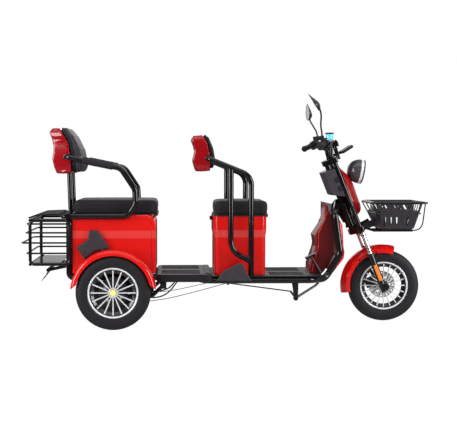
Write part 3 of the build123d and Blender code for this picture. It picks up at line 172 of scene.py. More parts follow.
near_floor, far_floor = {"From Min": 1.4, "To Min": 0.42}, {"From Max": 4.0, "To Max": 0.06}
shadow_zone = {"From Min": 1.1, "From Max": 2.2, "To Min": 0.94, "To Max": 1.0}
floor_material, add, link = new_material("studio_white")
direct, by_camera = seen_directly(floor_material.node_tree, add)
own_white = add("ShaderNodeMapRange", {"To Max": 1.04})
dim = add("ShaderNodeMapRange", near_floor | far_floor)
white = add("ShaderNodeEmission", {"Color": (1, 1, 1, 1)})
lit = add("ShaderNodeBsdfDiffuse", {"Color": (0.8, 0.8, 0.8, 1)})
place = add("ShaderNodeTexCoord")
from_middle = add("ShaderNodeVectorMath", operation="LENGTH")
fade = add("ShaderNodeMapRange", shadow_zone)
share = add("ShaderNodeMath", operation="MULTIPLY")
mix = add("ShaderNodeMixShader")
out = add("ShaderNodeOutputMaterial")
link(by_camera, own_white.inputs["Value"])
link(from_middle.outputs["Value"], dim.inputs["Value"])
link(dim.outputs[0], own_white.inputs["To Min"])
link(own_white.outputs[0], white.inputs["Strength"])
link(place.outputs["Object"], from_middle.inputs[0])
link(from_middle.outputs["Value"], fade.inputs["Value"])
link(direct, share.inputs[0])
link(fade.outputs[0], share.inputs[1])
link(share.outputs[0], mix.inputs[0])
link(lit.outputs[0], mix.inputs[1])
link(white.outputs[0], mix.inputs[2])
link(mix.outputs[0], out.inputs[0])
floor_mesh.materials.append(floor_material)
print("floor", tuple(round(v) for v in studio_floor.dimensions))

# %% [markdown]
# A wide softbox above fills the tops. Two tall ones stand far to the left and the right of the vehicle's side.
# They light rounded edges more than flat faces, and draw the bright lines along tubes and box corners.

# %% Lights


def softbox(name, place, aim, size, watts):
    """A rectangular soft light that looks at a point."""
    data = bpy.data.lights.new(name, "AREA")
    data.shape = "RECTANGLE"
    data.size, data.size_y = size
    data.energy = watts
    lamp = bpy.data.objects.new(name, data)
    scene.collection.objects.link(lamp)
    lamp.location = place
    lamp.rotation_euler = (Vector(aim) - Vector(place)).to_track_quat("-Z", "Y").to_euler()


chest = (0, 0, 0.5)
softbox("top_light", (0, -1.0, 3.4), chest, (4.5, 2.2), 50)
softbox("left_light", (-4.0, -2.4, 1.6), chest, (2.0, 2.4), 150)
softbox("right_light", (4.0, -2.4, 1.6), chest, (2.0, 2.4), 150)
softbox("front_fill", (0.2, -5.5, 2.8), chest, (3.0, 1.0), 22)
softbox("back_light", (0.3, 3.8, 2.2), chest, (3.5, 1.4), 40)

# %% [markdown]
# Real surfaces are never one flat colour. Every hard finish here starts from the same recipe: a Principled shader
# whose colour and gloss drift a little over a few centimetres, and a fine bump for the grain of the moulding.
# The patterns read the object's own coordinates in metres, so a grain has the same size on every piece.

# %% A recipe for hard finishes


def textured(name, colour, roughness, drift=0.05, gloss_drift=0.06, grain=0.0, grain_size=0.002, **settings):
    """A painted, moulded or metal surface with slightly uneven colour and gloss, and a fine grain."""
    material, add, link = new_material(name)
    shader = add("ShaderNodeBsdfPrincipled", settings)
    place = add("ShaderNodeTexCoord")
    cloud = add("ShaderNodeTexNoise", {"Scale": 7.0, "Detail": 3.0})
    link(place.outputs["Object"], cloud.inputs["Vector"])
    tone = add("ShaderNodeMix", data_type="RGBA")
    darker = [c * (1 - drift) for c in colour]
    lighter = [min(1, c * (1 + drift)) for c in colour]
    tone.inputs[6].default_value = (*darker, 1)
    tone.inputs[7].default_value = (*lighter, 1)
    link(cloud.outputs["Fac"], tone.inputs[0])
    link(tone.outputs[2], shader.inputs["Base Color"])
    gloss = add("ShaderNodeMapRange")
    gloss.inputs["To Min"].default_value = max(0.02, roughness - gloss_drift)
    gloss.inputs["To Max"].default_value = roughness + gloss_drift
    link(cloud.outputs["Fac"], gloss.inputs["Value"])
    link(gloss.outputs[0], shader.inputs["Roughness"])
    if grain:
        speck = add("ShaderNodeTexNoise", {"Scale": 1 / grain_size, "Detail": 3.0})
        bump = add("ShaderNodeBump", {"Strength": grain, "Distance": 0.0005})
        link(place.outputs["Object"], speck.inputs["Vector"])
        link(speck.outputs["Fac"], bump.inputs["Height"])
        link(bump.outputs[0], shader.inputs["Normal"])
    out = add("ShaderNodeOutputMaterial")
    link(shader.outputs[0], out.inputs[0])
    return material


soft_gloss, dull = {"Specular IOR Level": 0.3}, {"Specular IOR Level": 0.2}
lit_screen = {"Emission Color": (0.15, 0.65, 0.85, 1), "Emission Strength": 0.2}
red_paint = textured("red_paint", (0.60, 0.007, 0.005), 0.15, gloss_drift=0.03)
deep_red = textured("deep_red", (0.25, 0.003, 0.005), 0.14, gloss_drift=0.03)
shell_red = textured("shell_red", (0.27, 0.002, 0.006), 0.1, gloss_drift=0.03)
# The leg shield's sides: the same red darkened, a painted shade for the faces that look sideways.
panel_red = textured("panel_red", (0.085, 0.001, 0.002), 0.35, gloss_drift=0.03, **soft_gloss)
tube_black = textured("tube_black", (0.005, 0.004, 0.005), 0.13, gloss_drift=0.04)
deck_plastic = textured("deck_plastic", (0.014, 0.011, 0.015), 0.55, grain=0.25, **dull)
grey_plastic = textured("grey_plastic", (0.034, 0.029, 0.036), 0.5, grain=0.35, **soft_gloss)
gloss_grey = textured("gloss_grey", (0.10, 0.09, 0.105), 0.22)
tyre_rubber = textured("tyre_rubber", (0.012, 0.010, 0.013), 0.55, grain=0.3, **soft_gloss)
rim_alloy = textured("rim_alloy", (0.80, 0.79, 0.82), 0.28, Metallic=0.3)
cast_grey = textured("cast_grey", (0.05, 0.05, 0.053), 0.5, grain=0.6, Metallic=0.6)
bright_chrome = textured("bright_chrome", (0.8, 0.8, 0.82), 0.1, Metallic=1.0)
clear_lens = textured("clear_lens", (0.75, 0.77, 0.80), 0.08)
amber_lens = textured("amber_lens", (0.75, 0.20, 0.02), 0.2)
screen_glow = textured("screen_glow", (0.12, 0.60, 0.78), 0.2, **lit_screen)
basket_plastic = textured("basket_plastic", (0.022, 0.019, 0.024), 0.32, grain=0.15)
bell_black = textured("bell_black", (0.045, 0.041, 0.050), 0.2, gloss_drift=0.03)
mirror_black = textured("mirror_black", (0.016, 0.014, 0.018), 0.22)
mirror_glass = textured("mirror_glass", (0.9, 0.9, 0.92), 0.03, gloss_drift=0.01, Metallic=1.0)
grip_rubber = textured("grip_rubber", (0.014, 0.012, 0.015), 0.6, grain=0.6, **soft_gloss)
print("finishes", len(bpy.data.materials))

# %% [markdown]
# Both boxes carry a plain band of paler red a little under their tops. The band follows height only, so the
# finish reads Z from the object's coordinates and mixes a second red between two heights. A hair of softness
# at the edge stands for the thickness of the film.

# %% The banded red of the boxes
band_low, band_high, film_edge, film_cover = 0.498, 0.540, 0.0006, 0.55
banded_red = red_paint.copy()
banded_red.name = "banded_red"
tree = banded_red.node_tree
add, link = node_maker(tree), tree.links.new
shader = next(n for n in tree.nodes if n.type == "BSDF_PRINCIPLED")
old_colour = shader.inputs["Base Color"].links[0].from_socket
place = next(n for n in tree.nodes if n.type == "TEX_COORD")
split = add("ShaderNodeSeparateXYZ")
above = add("ShaderNodeMapRange", {"From Min": band_low - film_edge, "From Max": band_low + film_edge})
below = add("ShaderNodeMapRange", {"From Min": band_high + film_edge, "From Max": band_high - film_edge})
inside = add("ShaderNodeMath", operation="MULTIPLY")
amount = add("ShaderNodeMath", {1: film_cover}, operation="MULTIPLY")
band = add("ShaderNodeMix", {7: (0.66, 0.065, 0.060, 1)}, data_type="RGBA")
link(place.outputs["Object"], split.inputs[0])
for ramp in (above, below):
    link(split.outputs["Z"], ramp.inputs["Value"])
link(above.outputs[0], inside.inputs[0])
link(below.outputs[0], inside.inputs[1])
link(inside.outputs[0], amount.inputs[0])
link(amount.outputs[0], band.inputs[0])
link(old_colour, band.inputs[6])
link(band.outputs[2], shader.inputs["Base Color"])
print("band from", band_low, "to", band_high)

# %% [markdown]
# The CAD nodes already have the right shape for the frame, the boxes and the running gear. They keep their
# meshes and only get a finish. The list below gives each finish its nodes.

# %% Dress the CAD nodes


def paint(material, *names):
    """Give CAD nodes a finish through their object slots, which leaves their meshes alone."""
    for name in names:
        for slot in nodes[name].material_slots:
            slot.link = "OBJECT"
            slot.material = material


paint(banded_red, "driver_box", "rear_box")
paint(red_paint, "front_fender")
paint(deep_red, "fairing")
paint(tube_black, "main_frame", "driver_rails", "bench_frame", "rear_basket", "rear_basket_lid")
paint(tube_black, "rear_basket_tray", "plate_bracket", "swing_arms", "shocks", "brake_pedal", "fork_yokes")
paint(tube_black, "fork_sliders", "fork_tubes", "handlebar", "basket_bracket")
paint(deck_plastic, "floor_deck", "driver_seat_pan", "bench_pan", "box_latch", "instrument", "hand_controls")
paint(grey_plastic, "rail_covers", "side_trims", "column_cover")
paint(cast_grey, "rear_axle", "drive_motor", "rear_drum_left", "rear_drum_right", "brake_caliper")
paint(bright_chrome, "brake_disc")
paint(screen_glow, "display")
paint(amber_lens, "fork_reflectors")
bare = [name for name in nodes if not any(slot.link == "OBJECT" for slot in nodes[name].material_slots)]
print("nodes without a finish, to be replaced:", bare)

# %% [markdown]
# New pieces start as a bmesh: a small primitive or an outline, shaped with the same operators as in the editor.
# One helper turns a finished bmesh into a piece, shades it smooth except at real edges, and makes it ride on the
# CAD body that carries it, so that it moves with the joints.

# %% From a bmesh to a piece
weld = 0.00002


def add_piece(name, form, finishes, body, slot, *stands_for, crease=35, choose=None):
    """Make a piece of a bmesh. Where it has several finishes, choose() picks one for each face."""
    finishes = finishes if isinstance(finishes, list) else [finishes]
    if choose:
        for face in form.faces:
            face.material_index = choose(face)
    mesh = bpy.data.meshes.new(name)
    form.to_mesh(mesh)
    form.free()
    mesh.shade_smooth()
    mesh.set_sharp_from_angle(angle=radians(crease))
    for material in finishes:
        mesh.materials.append(material)
    piece = bpy.data.objects.new(name, mesh)
    scene.collection.objects.link(piece)
    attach(piece, body)
    if stands_for:
        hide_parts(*stands_for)
    return piece


def tidy(form):
    """Close the seams and poles, and turn every face outwards."""
    bmesh.ops.remove_doubles(form, verts=form.verts, dist=weld)
    bmesh.ops.recalc_face_normals(form, faces=form.faces)


def lathe(form, profile, centre, steps=72, closed=True):
    """Spin points of (radius, distance along Y) round the Y axis through a centre."""
    ring = [form.verts.new((centre[0] + radius, centre[1] + along, centre[2])) for radius, along in profile]
    pairs = list(zip(ring, ring[1:] + ring[:1] if closed else ring[1:]))
    edges = [form.edges.new(pair) for pair in pairs]
    bmesh.ops.spin(form, geom=ring + edges, cent=centre, axis=(0, 1, 0), angle=tau, steps=steps, use_merge=True)


def side_block(form, outline, right, left):
    """Extrude a side-view outline of (x, z) points from y = right to y = left. Returns its vertices."""
    face = form.faces.new([form.verts.new((x, right, z)) for x, z in outline])
    pulled = bmesh.ops.extrude_face_region(form, geom=[face], use_keep_orig=True)["geom"]
    far = [v for v in pulled if isinstance(v, bmesh.types.BMVert)]
    bmesh.ops.translate(form, verts=far, vec=(0, left - right, 0))
    return list(face.verts) + far


def block(form, at, size):
    """A box with its middle at a place."""
    made = bmesh.ops.create_cube(form, size=1)["verts"]
    bmesh.ops.scale(form, verts=made, vec=size)
    bmesh.ops.translate(form, verts=made, vec=at)
    return made


def round_edges(form, edges, width, segments=3):
    """Bevel edges the way the editor's tool does."""
    bmesh.ops.bevel(
        form, geom=list(edges), offset=width, offset_type="OFFSET", segments=segments, profile=0.5,
        affect="EDGES", material=-1, clamp_overlap=True,
    )


def rod_between(form, start, end, radius, sides=16):
    """A straight round rod with flat ends."""
    run = Vector(end) - Vector(start)
    turn = run.to_track_quat("Z", "Y").to_matrix().to_4x4()
    turn.translation = (Vector(start) + Vector(end)) / 2
    return bmesh.ops.create_cone(
        form, cap_ends=True, segments=sides, radius1=radius, radius2=radius, depth=run.length, matrix=turn
    )["verts"]


def everything(form):
    """All vertices, edges and faces of a bmesh, for operators that ask for geometry."""
    return form.verts[:] + form.edges[:] + form.faces[:]


def mirror_to_left(form):
    """Copy everything on the right side to the left side."""
    copies = bmesh.ops.duplicate(form, geom=everything(form))["geom"]
    moved = [v for v in copies if isinstance(v, bmesh.types.BMVert)]
    bmesh.ops.scale(form, verts=moved, vec=(1, -1, 1))
    bmesh.ops.recalc_face_normals(form, faces=form.faces)


print("helpers ready")

# %% [markdown]
# The tyres are size 3.00-10, with a round crown. A profile is spun round the axle. The tread is then cut the
# way a mould does it: every crown face is inset and raised, which leaves straight grooves round the tyre and
# slanted ones across it, because the crown is twisted a little to both sides first. Fine rings mark the wall.

# %% Tyres
tread_height, groove_half = 0.0024, 0.0016
crown_half, crown_drop, crown_bands = 0.033, 0.0095, 8
tread_steps, tread_twist = 76, 1.5
twist_from, crown_from = 0.19, 0.1945


def tyre_profile():
    """Half of the section by half: bead, bulging wall with two rings, shoulder and crown."""
    wall = [(0.1385, 0.029), (0.1405, 0.0335), (0.1425, 0.0345), (0.1435, 0.0352), (0.1445, 0.0362), (0.1475, 0.0364)]
    wall += [(0.1485, 0.0374), (0.156, 0.0388), (0.1645, 0.0397), (0.1665, 0.0397), (0.1672, 0.0390)]
    wall += [(0.1690, 0.0390), (0.1697, 0.0395), (0.179, 0.0387), (0.1885, 0.0363), (0.1935, 0.0345)]
    crown = []
    for number in range(crown_bands + 1):
        along = crown_half * (1 - 2 * number / crown_bands)
        crown.append((tyre_radius - tread_height - crown_drop * (along / crown_half) ** 2, along))
    other_wall = [(radius, -along) for radius, along in reversed(wall)]
    return wall + crown + other_wall + [(0.1275, -0.029), (0.1275, 0.029)]


def add_tyre(name, centre, body):
    """A tyre with raised tread blocks."""
    form = bmesh.new()
    lathe(form, tyre_profile(), centre, steps=tread_steps)
    tidy(form)
    for vert in form.verts:
        offset = vert.co - centre
        if Vector((offset.x, offset.z)).length > twist_from:
            twist = Matrix.Rotation(tread_twist * abs(offset.y), 4, "Y")
            vert.co = centre + twist @ offset
    form.normal_update()
    crown = []
    for face in form.faces:
        offset = face.calc_center_median() - centre
        if Vector((offset.x, offset.z)).length > crown_from and abs(offset.y) < crown_half:
            crown.append(face)
    bmesh.ops.inset_individual(form, faces=crown, thickness=groove_half, use_even_offset=True)
    pushed = {v for face in crown for v in face.verts}
    for vert in pushed:
        offset = vert.co - centre
        outward = Vector((offset.x, 0, offset.z)).normalized()
        vert.co += outward * tread_height
    return add_piece(name, form, tyre_rubber, body, "tyre_rubber", name.replace("tread_", ""), crease=30)


carried_by = {"rear_tyre_left": "rear_wheel_left", "rear_tyre_right": "rear_wheel_right", "front_tyre": "front_wheel"}
for name, body in carried_by.items():
    tyre = add_tyre("tread_" + name, middle(name), body)
print("tyre faces", len(tyre.data.polygons))

# %% [markdown]
# A cast wheel is three things to the eye: a polished lip, a black barrel behind it, and silver spokes that
# taper from the rim to the hub. One spoke is a cube with its ends pulled in and its edges bevelled. It is
# copied round the hub with a turn for each copy.

# %% Wheels
lip_section = [
    (0.1387, 0.0292), (0.1387, 0.0328), (0.1375, 0.0340), (0.1345, 0.0341), (0.1318, 0.0332), (0.1300, 0.0316),
    (0.1290, 0.0295), (0.1286, 0.0262), (0.1302, 0.0262), (0.1306, 0.0290),
]
barrel_section = [
    (0.1294, 0.0285), (0.1240, 0.0262), (0.1226, 0.0190), (0.1080, 0.0080), (0.1080, -0.0080), (0.1226, -0.0180),
    (0.1236, -0.0320), (0.1375, -0.0338), (0.1385, -0.0295), (0.1268, -0.0290), (0.1262, -0.0200), (0.1120, -0.0100),
    (0.1120, 0.0100), (0.1262, 0.0200),
]


spoke_face, spoke_depth, flange_face, nut_circle = 0.027, 0.012, 0.0145, 0.050
spoke_tip, outer_taper, tip_set_back = 0.1245, 0.72, 0.0015


def turned(section, outward):
    """A lathe section for the left side, or its mirror image for the right."""
    return [(radius, outward * along) for radius, along in section]


def add_spokes(form, centre, outward, count, hub_radius, hub_width, rim_width, face_at, depth):
    """Tapered spokes from the hub to the lip, each a cube with its edges softened."""
    for number in range(count):
        spoke = bmesh.new()
        bmesh.ops.create_cube(spoke, size=1)
        for vert in spoke.verts:
            at_rim = vert.co.x > 0
            outside = vert.co.y * outward > 0
            width = rim_width if at_rim else hub_width
            vert.co.z *= width * (outer_taper if outside else 1)
            vert.co.x = spoke_tip if at_rim else hub_radius
            vert.co.y = outward * (face_at if outside else face_at - depth)
            if outside and at_rim:
                vert.co.y -= outward * tip_set_back
        round_edges(spoke, spoke.edges, 0.0007, 2)
        turn = Matrix.Translation(centre) @ Matrix.Rotation(tau * number / count, 4, "Y")
        bmesh.ops.transform(spoke, matrix=turn, verts=spoke.verts)
        copy = bpy.data.meshes.new("one_spoke")
        spoke.to_mesh(copy)
        spoke.free()
        form.from_mesh(copy)
        bpy.data.meshes.remove(copy)


def add_wheel(node, body, centre, outward, count, hub):
    """Lip, barrel, spokes and hub of one wheel. The hub is (radius, spoke widths, outer face, cap radius)."""
    hub_radius, root_width, rim_width, face_at, cap_radius = hub
    lip = bmesh.new()
    lathe(lip, turned(lip_section, outward), centre, steps=96)
    tidy(lip)
    add_piece(node + "_lip", lip, rim_alloy, body, "rim_alloy", node, crease=50)
    barrel = bmesh.new()
    lathe(barrel, turned(barrel_section, outward), centre, steps=96)
    tidy(barrel)
    add_piece(node + "_barrel", barrel, barrel_finish, body, "rim_alloy", crease=40)
    spokes = bmesh.new()
    add_spokes(spokes, centre, outward, count, hub_radius - 0.003, root_width, rim_width, spoke_face, spoke_depth)
    ring = [(hub_radius, face_at - 0.006), (hub_radius - 0.002, face_at), (cap_radius + 0.004, face_at + 0.001)]
    ring += [(cap_radius + 0.002, face_at - 0.001), (cap_radius, face_at - 0.012), (hub_radius, face_at - 0.012)]
    lathe(spokes, turned(ring, outward), centre, steps=64)
    tidy(spokes)
    return add_piece(node + "_spokes", spokes, rim_alloy, body, "rim_alloy", crease=40)


barrel_finish = textured("dark_barrel", (0.020, 0.019, 0.022), 0.13, gloss_drift=0.03)
cap_yellow = textured("cap_yellow", (0.88, 0.86, 0.25), 0.35)
flange_grey = textured("flange_grey", (0.03, 0.03, 0.032), 0.35, grain=0.2, Metallic=0.5)
for side, outward in (("left", 1), ("right", -1)):
    node, body = "rear_rim_" + side, "rear_wheel_" + side
    centre = middle("rear_tyre_" + side)
    add_wheel(node, body, centre, outward, 16, (0.026, 0.0062, 0.0088, 0.0262, 0.0180))
    hub = bmesh.new()
    plate = [(0.0001, -0.006), (0.062, -0.006), (0.062, 0.012)]
    plate += [(0.058, flange_face), (0.034, 0.0150), (0.0001, 0.0150)]
    lathe(hub, turned(plate, outward), centre, steps=64, closed=False)
    tidy(hub)
    add_piece(node + "_flange", hub, flange_grey, body, "rim_alloy", crease=40)
    nuts = bmesh.new()
    for number in range(4):
        angle = tau * (number + 0.5) / 4 + 0.2
        seat = centre + Vector((nut_circle * cos(angle), outward * flange_face, nut_circle * sin(angle)))
        for tall, radius, corners in ((0.003, 0.0085, 20), (0.010, 0.0062, 6), (0.013, 0.0035, 12)):
            rod_between(nuts, seat, seat + Vector((0, outward * tall, 0)), radius, corners)
    round_edges(nuts, [e for e in nuts.edges if e.calc_face_angle(0) > 0.5], 0.0004, 1)
    add_piece(node + "_nuts", nuts, bright_chrome, body, "chrome", crease=30)
    cap = bmesh.new()
    dome = [(0.0001, 0.0305), (0.007, 0.0302), (0.012, 0.0294), (0.0158, 0.0278), (0.0166, 0.0262), (0.0166, 0.015)]
    lathe(cap, turned(dome, outward), centre, steps=48, closed=False)
    tidy(cap)
    add_piece(node + "_cap", cap, cap_yellow, body, "rim_alloy", crease=60)
front_centre = middle("front_tyre")
add_wheel("front_rim", "front_wheel", front_centre, -1, 20, (0.027, 0.0040, 0.0070, 0.0275, 0.0095))
drum = bmesh.new()
hub_shape = [(0.0078, -0.036), (0.024, -0.036), (0.026, -0.030), (0.023, -0.018), (0.021, 0.0), (0.023, 0.02)]
hub_shape += [(0.027, 0.026), (0.027, 0.0285), (0.0078, 0.0285)]
lathe(drum, turned(hub_shape, -1), front_centre, steps=48)
tidy(drum)
add_piece("front_hub", drum, flange_grey, "front_wheel", "rim_alloy", crease=40)

# %% [markdown]
# The seats are foam in black leathercloth. Leathercloth has pebbled grain, soft creases and a dull shine that
# gets brighter at a shallow angle. The grain is a Voronoi bump about two millimetres across, so it needs no UV.

# %% Leathercloth


def leathercloth(name, colour, roughness):
    """Black seat cover with a pebbled grain and faint creases."""
    material, add, link = new_material(name)
    shader = add("ShaderNodeBsdfPrincipled", {"Specular IOR Level": 0.15, "Sheen Weight": 0.03})
    place = add("ShaderNodeTexCoord")
    pebbles = add("ShaderNodeTexVoronoi", {"Scale": 420.0})
    creases = add("ShaderNodeTexNoise", {"Scale": 26.0, "Detail": 5.0, "Distortion": 0.8})
    wear = add("ShaderNodeTexNoise", {"Scale": 5.0, "Detail": 2.0})
    tone = add("ShaderNodeMix", data_type="RGBA")
    tone.inputs[6].default_value = (*[c * 0.85 for c in colour], 1)
    tone.inputs[7].default_value = (*[c * 1.25 for c in colour], 1)
    gloss = add("ShaderNodeMapRange", {"To Min": roughness - 0.05, "To Max": roughness + 0.08})
    fine = add("ShaderNodeBump", {"Strength": 0.35, "Distance": 0.0004})
    broad = add("ShaderNodeBump", {"Strength": 0.25, "Distance": 0.002})
    out = add("ShaderNodeOutputMaterial")
    for texture in (pebbles, creases, wear):
        link(place.outputs["Object"], texture.inputs["Vector"])
    link(wear.outputs["Fac"], tone.inputs[0])
    link(tone.outputs[2], shader.inputs["Base Color"])
    link(wear.outputs["Fac"], gloss.inputs["Value"])
    link(gloss.outputs[0], shader.inputs["Roughness"])
    link(creases.outputs["Fac"], broad.inputs["Height"])
    link(pebbles.outputs["Distance"], fine.inputs["Height"])
    link(broad.outputs[0], fine.inputs["Normal"])
    link(fine.outputs[0], shader.inputs["Normal"])
    link(shader.outputs[0], out.inputs[0])
    return material


black_leather = leathercloth("black_leather", (0.013, 0.011, 0.014), 0.62)
grey_leather = leathercloth("grey_leather", (0.034, 0.030, 0.037), 0.55)
# A darker copy of the grey face leather for the driver's pad: painted shade.
shade_leather = leathercloth("shade_leather", (0.018, 0.016, 0.020), 0.58)
print("leathercloth ready")

# %% [markdown]
# A cushion is stuffed, so its shape comes from pressure inside a cover. The closed cover is remeshed into even
# small faces, blown up for twenty frames as cloth, and kept from moving too far. The result is applied, so the
# piece keeps a plain mesh. Seams come last: a remesh would have removed them.

# %% A recipe for cushions
cover_pressure, cloth_frames = 4, 20


def settle(piece):
    """Apply the modifiers of an object and remove them."""
    graph = bpy.context.evaluated_depsgraph_get()
    final = bpy.data.meshes.new_from_object(piece.evaluated_get(graph))
    piece.modifiers.clear()
    old, piece.data = piece.data, final
    bpy.data.meshes.remove(old)


def remeshed(name, form, voxel):
    """An object made of a closed bmesh, with even small faces."""
    tidy(form)
    mesh = bpy.data.meshes.new(name)
    form.to_mesh(mesh)
    form.free()
    solid = bpy.data.objects.new(name, mesh)
    scene.collection.objects.link(solid)
    even = solid.modifiers.new("even", "REMESH")
    even.mode = "VOXEL"
    even.voxel_size = voxel
    settle(solid)
    return solid


def stuffed(name, form, voxel, swell, material):
    """Fill a closed cover like a cushion. No point moves further than swell."""
    cushion = remeshed(name, form, voxel)
    before = [v.co.copy() for v in cushion.data.vertices]
    filling = cushion.modifiers.new("filling", "CLOTH")
    filling.settings.use_pressure = True
    filling.settings.uniform_pressure_force = cover_pressure
    filling.settings.effector_weights.gravity = 0
    filling.point_cache.frame_start, filling.point_cache.frame_end = 1, cloth_frames
    for number in range(1, cloth_frames + 1):
        scene.frame_set(number)
    settle(cushion)
    scene.frame_set(1)
    for vert, start in zip(cushion.data.vertices, before):
        move = vert.co - start
        if move.length > swell:
            vert.co = start + move * (swell / move.length)
    smoother = cushion.modifiers.new("smoother", "SUBSURF")
    smoother.levels = smoother.render_levels = 1
    settle(cushion)
    cushion.data.materials.clear()
    cushion.data.materials.append(material)
    cushion.data.shade_smooth()
    return cushion


def press_seam(cushion, distance_to, depth=0.003, width=0.004):
    """Press a seam into a cushion. distance_to(point) says how far a point is from the seam."""
    normals = [vert.normal.copy() for vert in cushion.data.vertices]
    for vert, normal in zip(cushion.data.vertices, normals):
        away = distance_to(vert.co)
        if away < 3 * width:
            vert.co -= normal * depth * exp(-((away / width) ** 2))


seat_crown, seam_from_edge, top_round, sole_round = 0.004, 0.016, 0.016, 0.006


def seat_cover(node, corner=0.034, shrink=0.004):
    """A seat cushion's cover: a block with rounded corners, pulled in a little at the middle of its sides."""
    form = bmesh.new()
    size = high[node] - low[node] - Vector((2 * shrink, 2 * shrink, 1.5 * shrink))
    place = middle(node) - Vector((0, 0, shrink / 2))
    block(form, place, size)
    uprights = [e for e in form.edges if abs((e.verts[0].co - e.verts[1].co).z) > 0.01]
    round_edges(form, uprights, corner, 6)
    rims = [e for e in form.edges if all(v.co.z > place.z for v in e.verts)]
    round_edges(form, rims, top_round, 4)
    soles = [e for e in form.edges if all(v.co.z < place.z - 0.4 * size.z for v in e.verts)]
    round_edges(form, soles, sole_round, 2)
    return form


def finish_seat(cushion, node, body):
    """Crown the top, press the two seams of the side band, and hand the seat to its body."""
    top, sole, centre = high[node].z, low[node].z, middle(node)
    half = (high[node] - low[node]) / 2
    for vert in cushion.data.vertices:
        along, beside = (vert.co.x - centre.x) / half.x, (vert.co.y - centre.y) / half.y
        crown = max(0.0, 1 - along**2) * max(0.0, 1 - beside**2)
        lift = (vert.co.z - sole) / (top - sole)
        vert.co.z += seat_crown * crown * lift - seat_crown * max(0.0, lift - 0.6)
        vert.co.z = min(max(vert.co.z, sole), top + seat_crown)
    press_seam(cushion, lambda p: abs(p.z - (top - seam_from_edge)) if p.z < top - 0.006 else 1, 0.0026, 0.0030)
    press_seam(cushion, lambda p: abs(p.z - (sole + seam_from_edge)), 0.0030, 0.0032)
    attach(cushion, body)
    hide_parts(node)
    print(cushion.name, "faces", len(cushion.data.polygons))


for node, body in (("bench_cushion", "bench"), ("driver_seat", "driver_seat")):
    cushion = stuffed(node + "_padded", seat_cover(node), voxel=0.006, swell=0.006, material=black_leather)
    finish_seat(cushion, node, body)

# %% [markdown]
# Each backrest is a pad on a moulded shell. The pad has a dark bolster round its edge, joined by a seam to a paler
# face.
# On the driver's pad that face is a darker grey, which is painted shade. The bolster and the face are one cushion.
# Its material slots change at the seam.

# %% Backrest pads
pad_gap, pad_corner, edge_pull = 0.004, 0.055, 0.012
back_shape = {
    "rear": [(-0.2355, 0.860), (-0.190, 0.861), (-0.177, 0.876), (-0.172, 0.905), (-0.189, 0.990), (-0.224, 1.062),
             (-0.265, 1.112), (-0.288, 1.117), (-0.3005, 1.110), (-0.2535, 1.027), (-0.2395, 0.938)],
    "driver": [(0.5385, 0.876), (0.553, 0.882), (0.564, 0.933), (0.552, 1.000), (0.527, 1.060), (0.511, 1.078),
               (0.4955, 1.080), (0.5205, 1.030), (0.5365, 0.960)],
}


def round_to_front(form, half, low_z, high_z, corner):
    """Pull the corners of a side-view block in, so that it is a rounded rectangle from the front."""
    for vert in form.verts:
        over_y = abs(vert.co.y) - (half - corner)
        over_z = max(vert.co.z - (high_z - corner), (low_z + corner) - vert.co.z)
        if over_y > 0 and over_z > 0:
            reach = Vector((over_y, over_z)).length
            if reach > corner:
                vert.co.y -= (over_y - over_y * corner / reach) * (1 if vert.co.y > 0 else -1)
                shift = over_z - over_z * corner / reach
                vert.co.z += -shift if vert.co.z > (low_z + high_z) / 2 else shift


def cut_across(form, steps_y, steps_z, half, low_z, high_z):
    """Slice a block into strips, so that later moves have vertices to work on."""
    for number in range(1, steps_y):
        plane = Vector((0, half * (2 * number / steps_y - 1), 0))
        bmesh.ops.bisect_plane(form, geom=everything(form), plane_co=plane, plane_no=(0, 1, 0))
    for number in range(1, steps_z):
        plane = Vector((0, 0, low_z + (high_z - low_z) * number / steps_z))
        bmesh.ops.bisect_plane(form, geom=everything(form), plane_co=plane, plane_no=(0, 0, 1))


def back_pad(side, node):
    """The stuffed pad of one backrest, with a seam between bolster and face."""
    form = bmesh.new()
    half = high[node].y - pad_gap
    outline = [(rear_axle_x + x, z) for x, z in back_shape[side]]
    side_block(form, outline, -half, half)
    bottom, top = low[node].z + 0.003, high[node].z - 0.003
    cut_across(form, 24, 20, half, bottom, top)
    round_to_front(form, half, bottom, top, pad_corner)
    pad = stuffed(node + "_padded", form, voxel=0.005, swell=0.007, material=black_leather)
    # The driver's pad face takes the darker copy of the grey leather, which is painted shade.
    pad.data.materials.append(grey_leather if side == "rear" else shade_leather)
    centre = middle(node)
    ahead = [max(0.0, vert.normal.x) for vert in pad.data.vertices]
    for vert, forward in zip(pad.data.vertices, ahead):
        vert.co.x -= edge_pull * forward * min(1.0, abs(vert.co.y) / half) ** 3
    return pad, half


seam_line = {"rear": [(0.858, -0.2115), (0.94, -0.2130), (1.03, -0.2330), (1.13, -0.2860)],
             "driver": [(0.87, 0.5490), (0.94, 0.5500), (1.03, 0.5380), (1.09, 0.5120)]}


def seam_x(side, z):
    """How far forward the seam is at a height."""
    points = seam_line[side]
    for (z0, x0), (z1, x1) in zip(points, points[1:]):
        if z <= z1 or (z1, x1) == points[-1]:
            return rear_axle_x + x0 + (x1 - x0) * (z - z0) / (z1 - z0)
    return rear_axle_x + points[-1][1]


for side, node in (("rear", "rear_backrest_pad"), ("driver", "driver_backrest_pad")):
    pad, half = back_pad(side, node)
    press_seam(pad, lambda p: abs(p.x - seam_x(side, p.z)), 0.0045, 0.0045)
    for face in pad.data.polygons:
        face.material_index = 1 if face.center.x > seam_x(side, face.center.z) else 0
    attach(pad, "chassis")
    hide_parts(node)
    print(pad.name, "faces", len(pad.data.polygons))

# %% [markdown]
# The red shells behind the pads are moulded plastic with soft edges everywhere. A block is cut to the side
# view, rounded to the front view, and tapered towards the back. Then it is remeshed and smoothed, which
# rounds every edge by the same small amount, as a mould does.

# %% Moulded shells


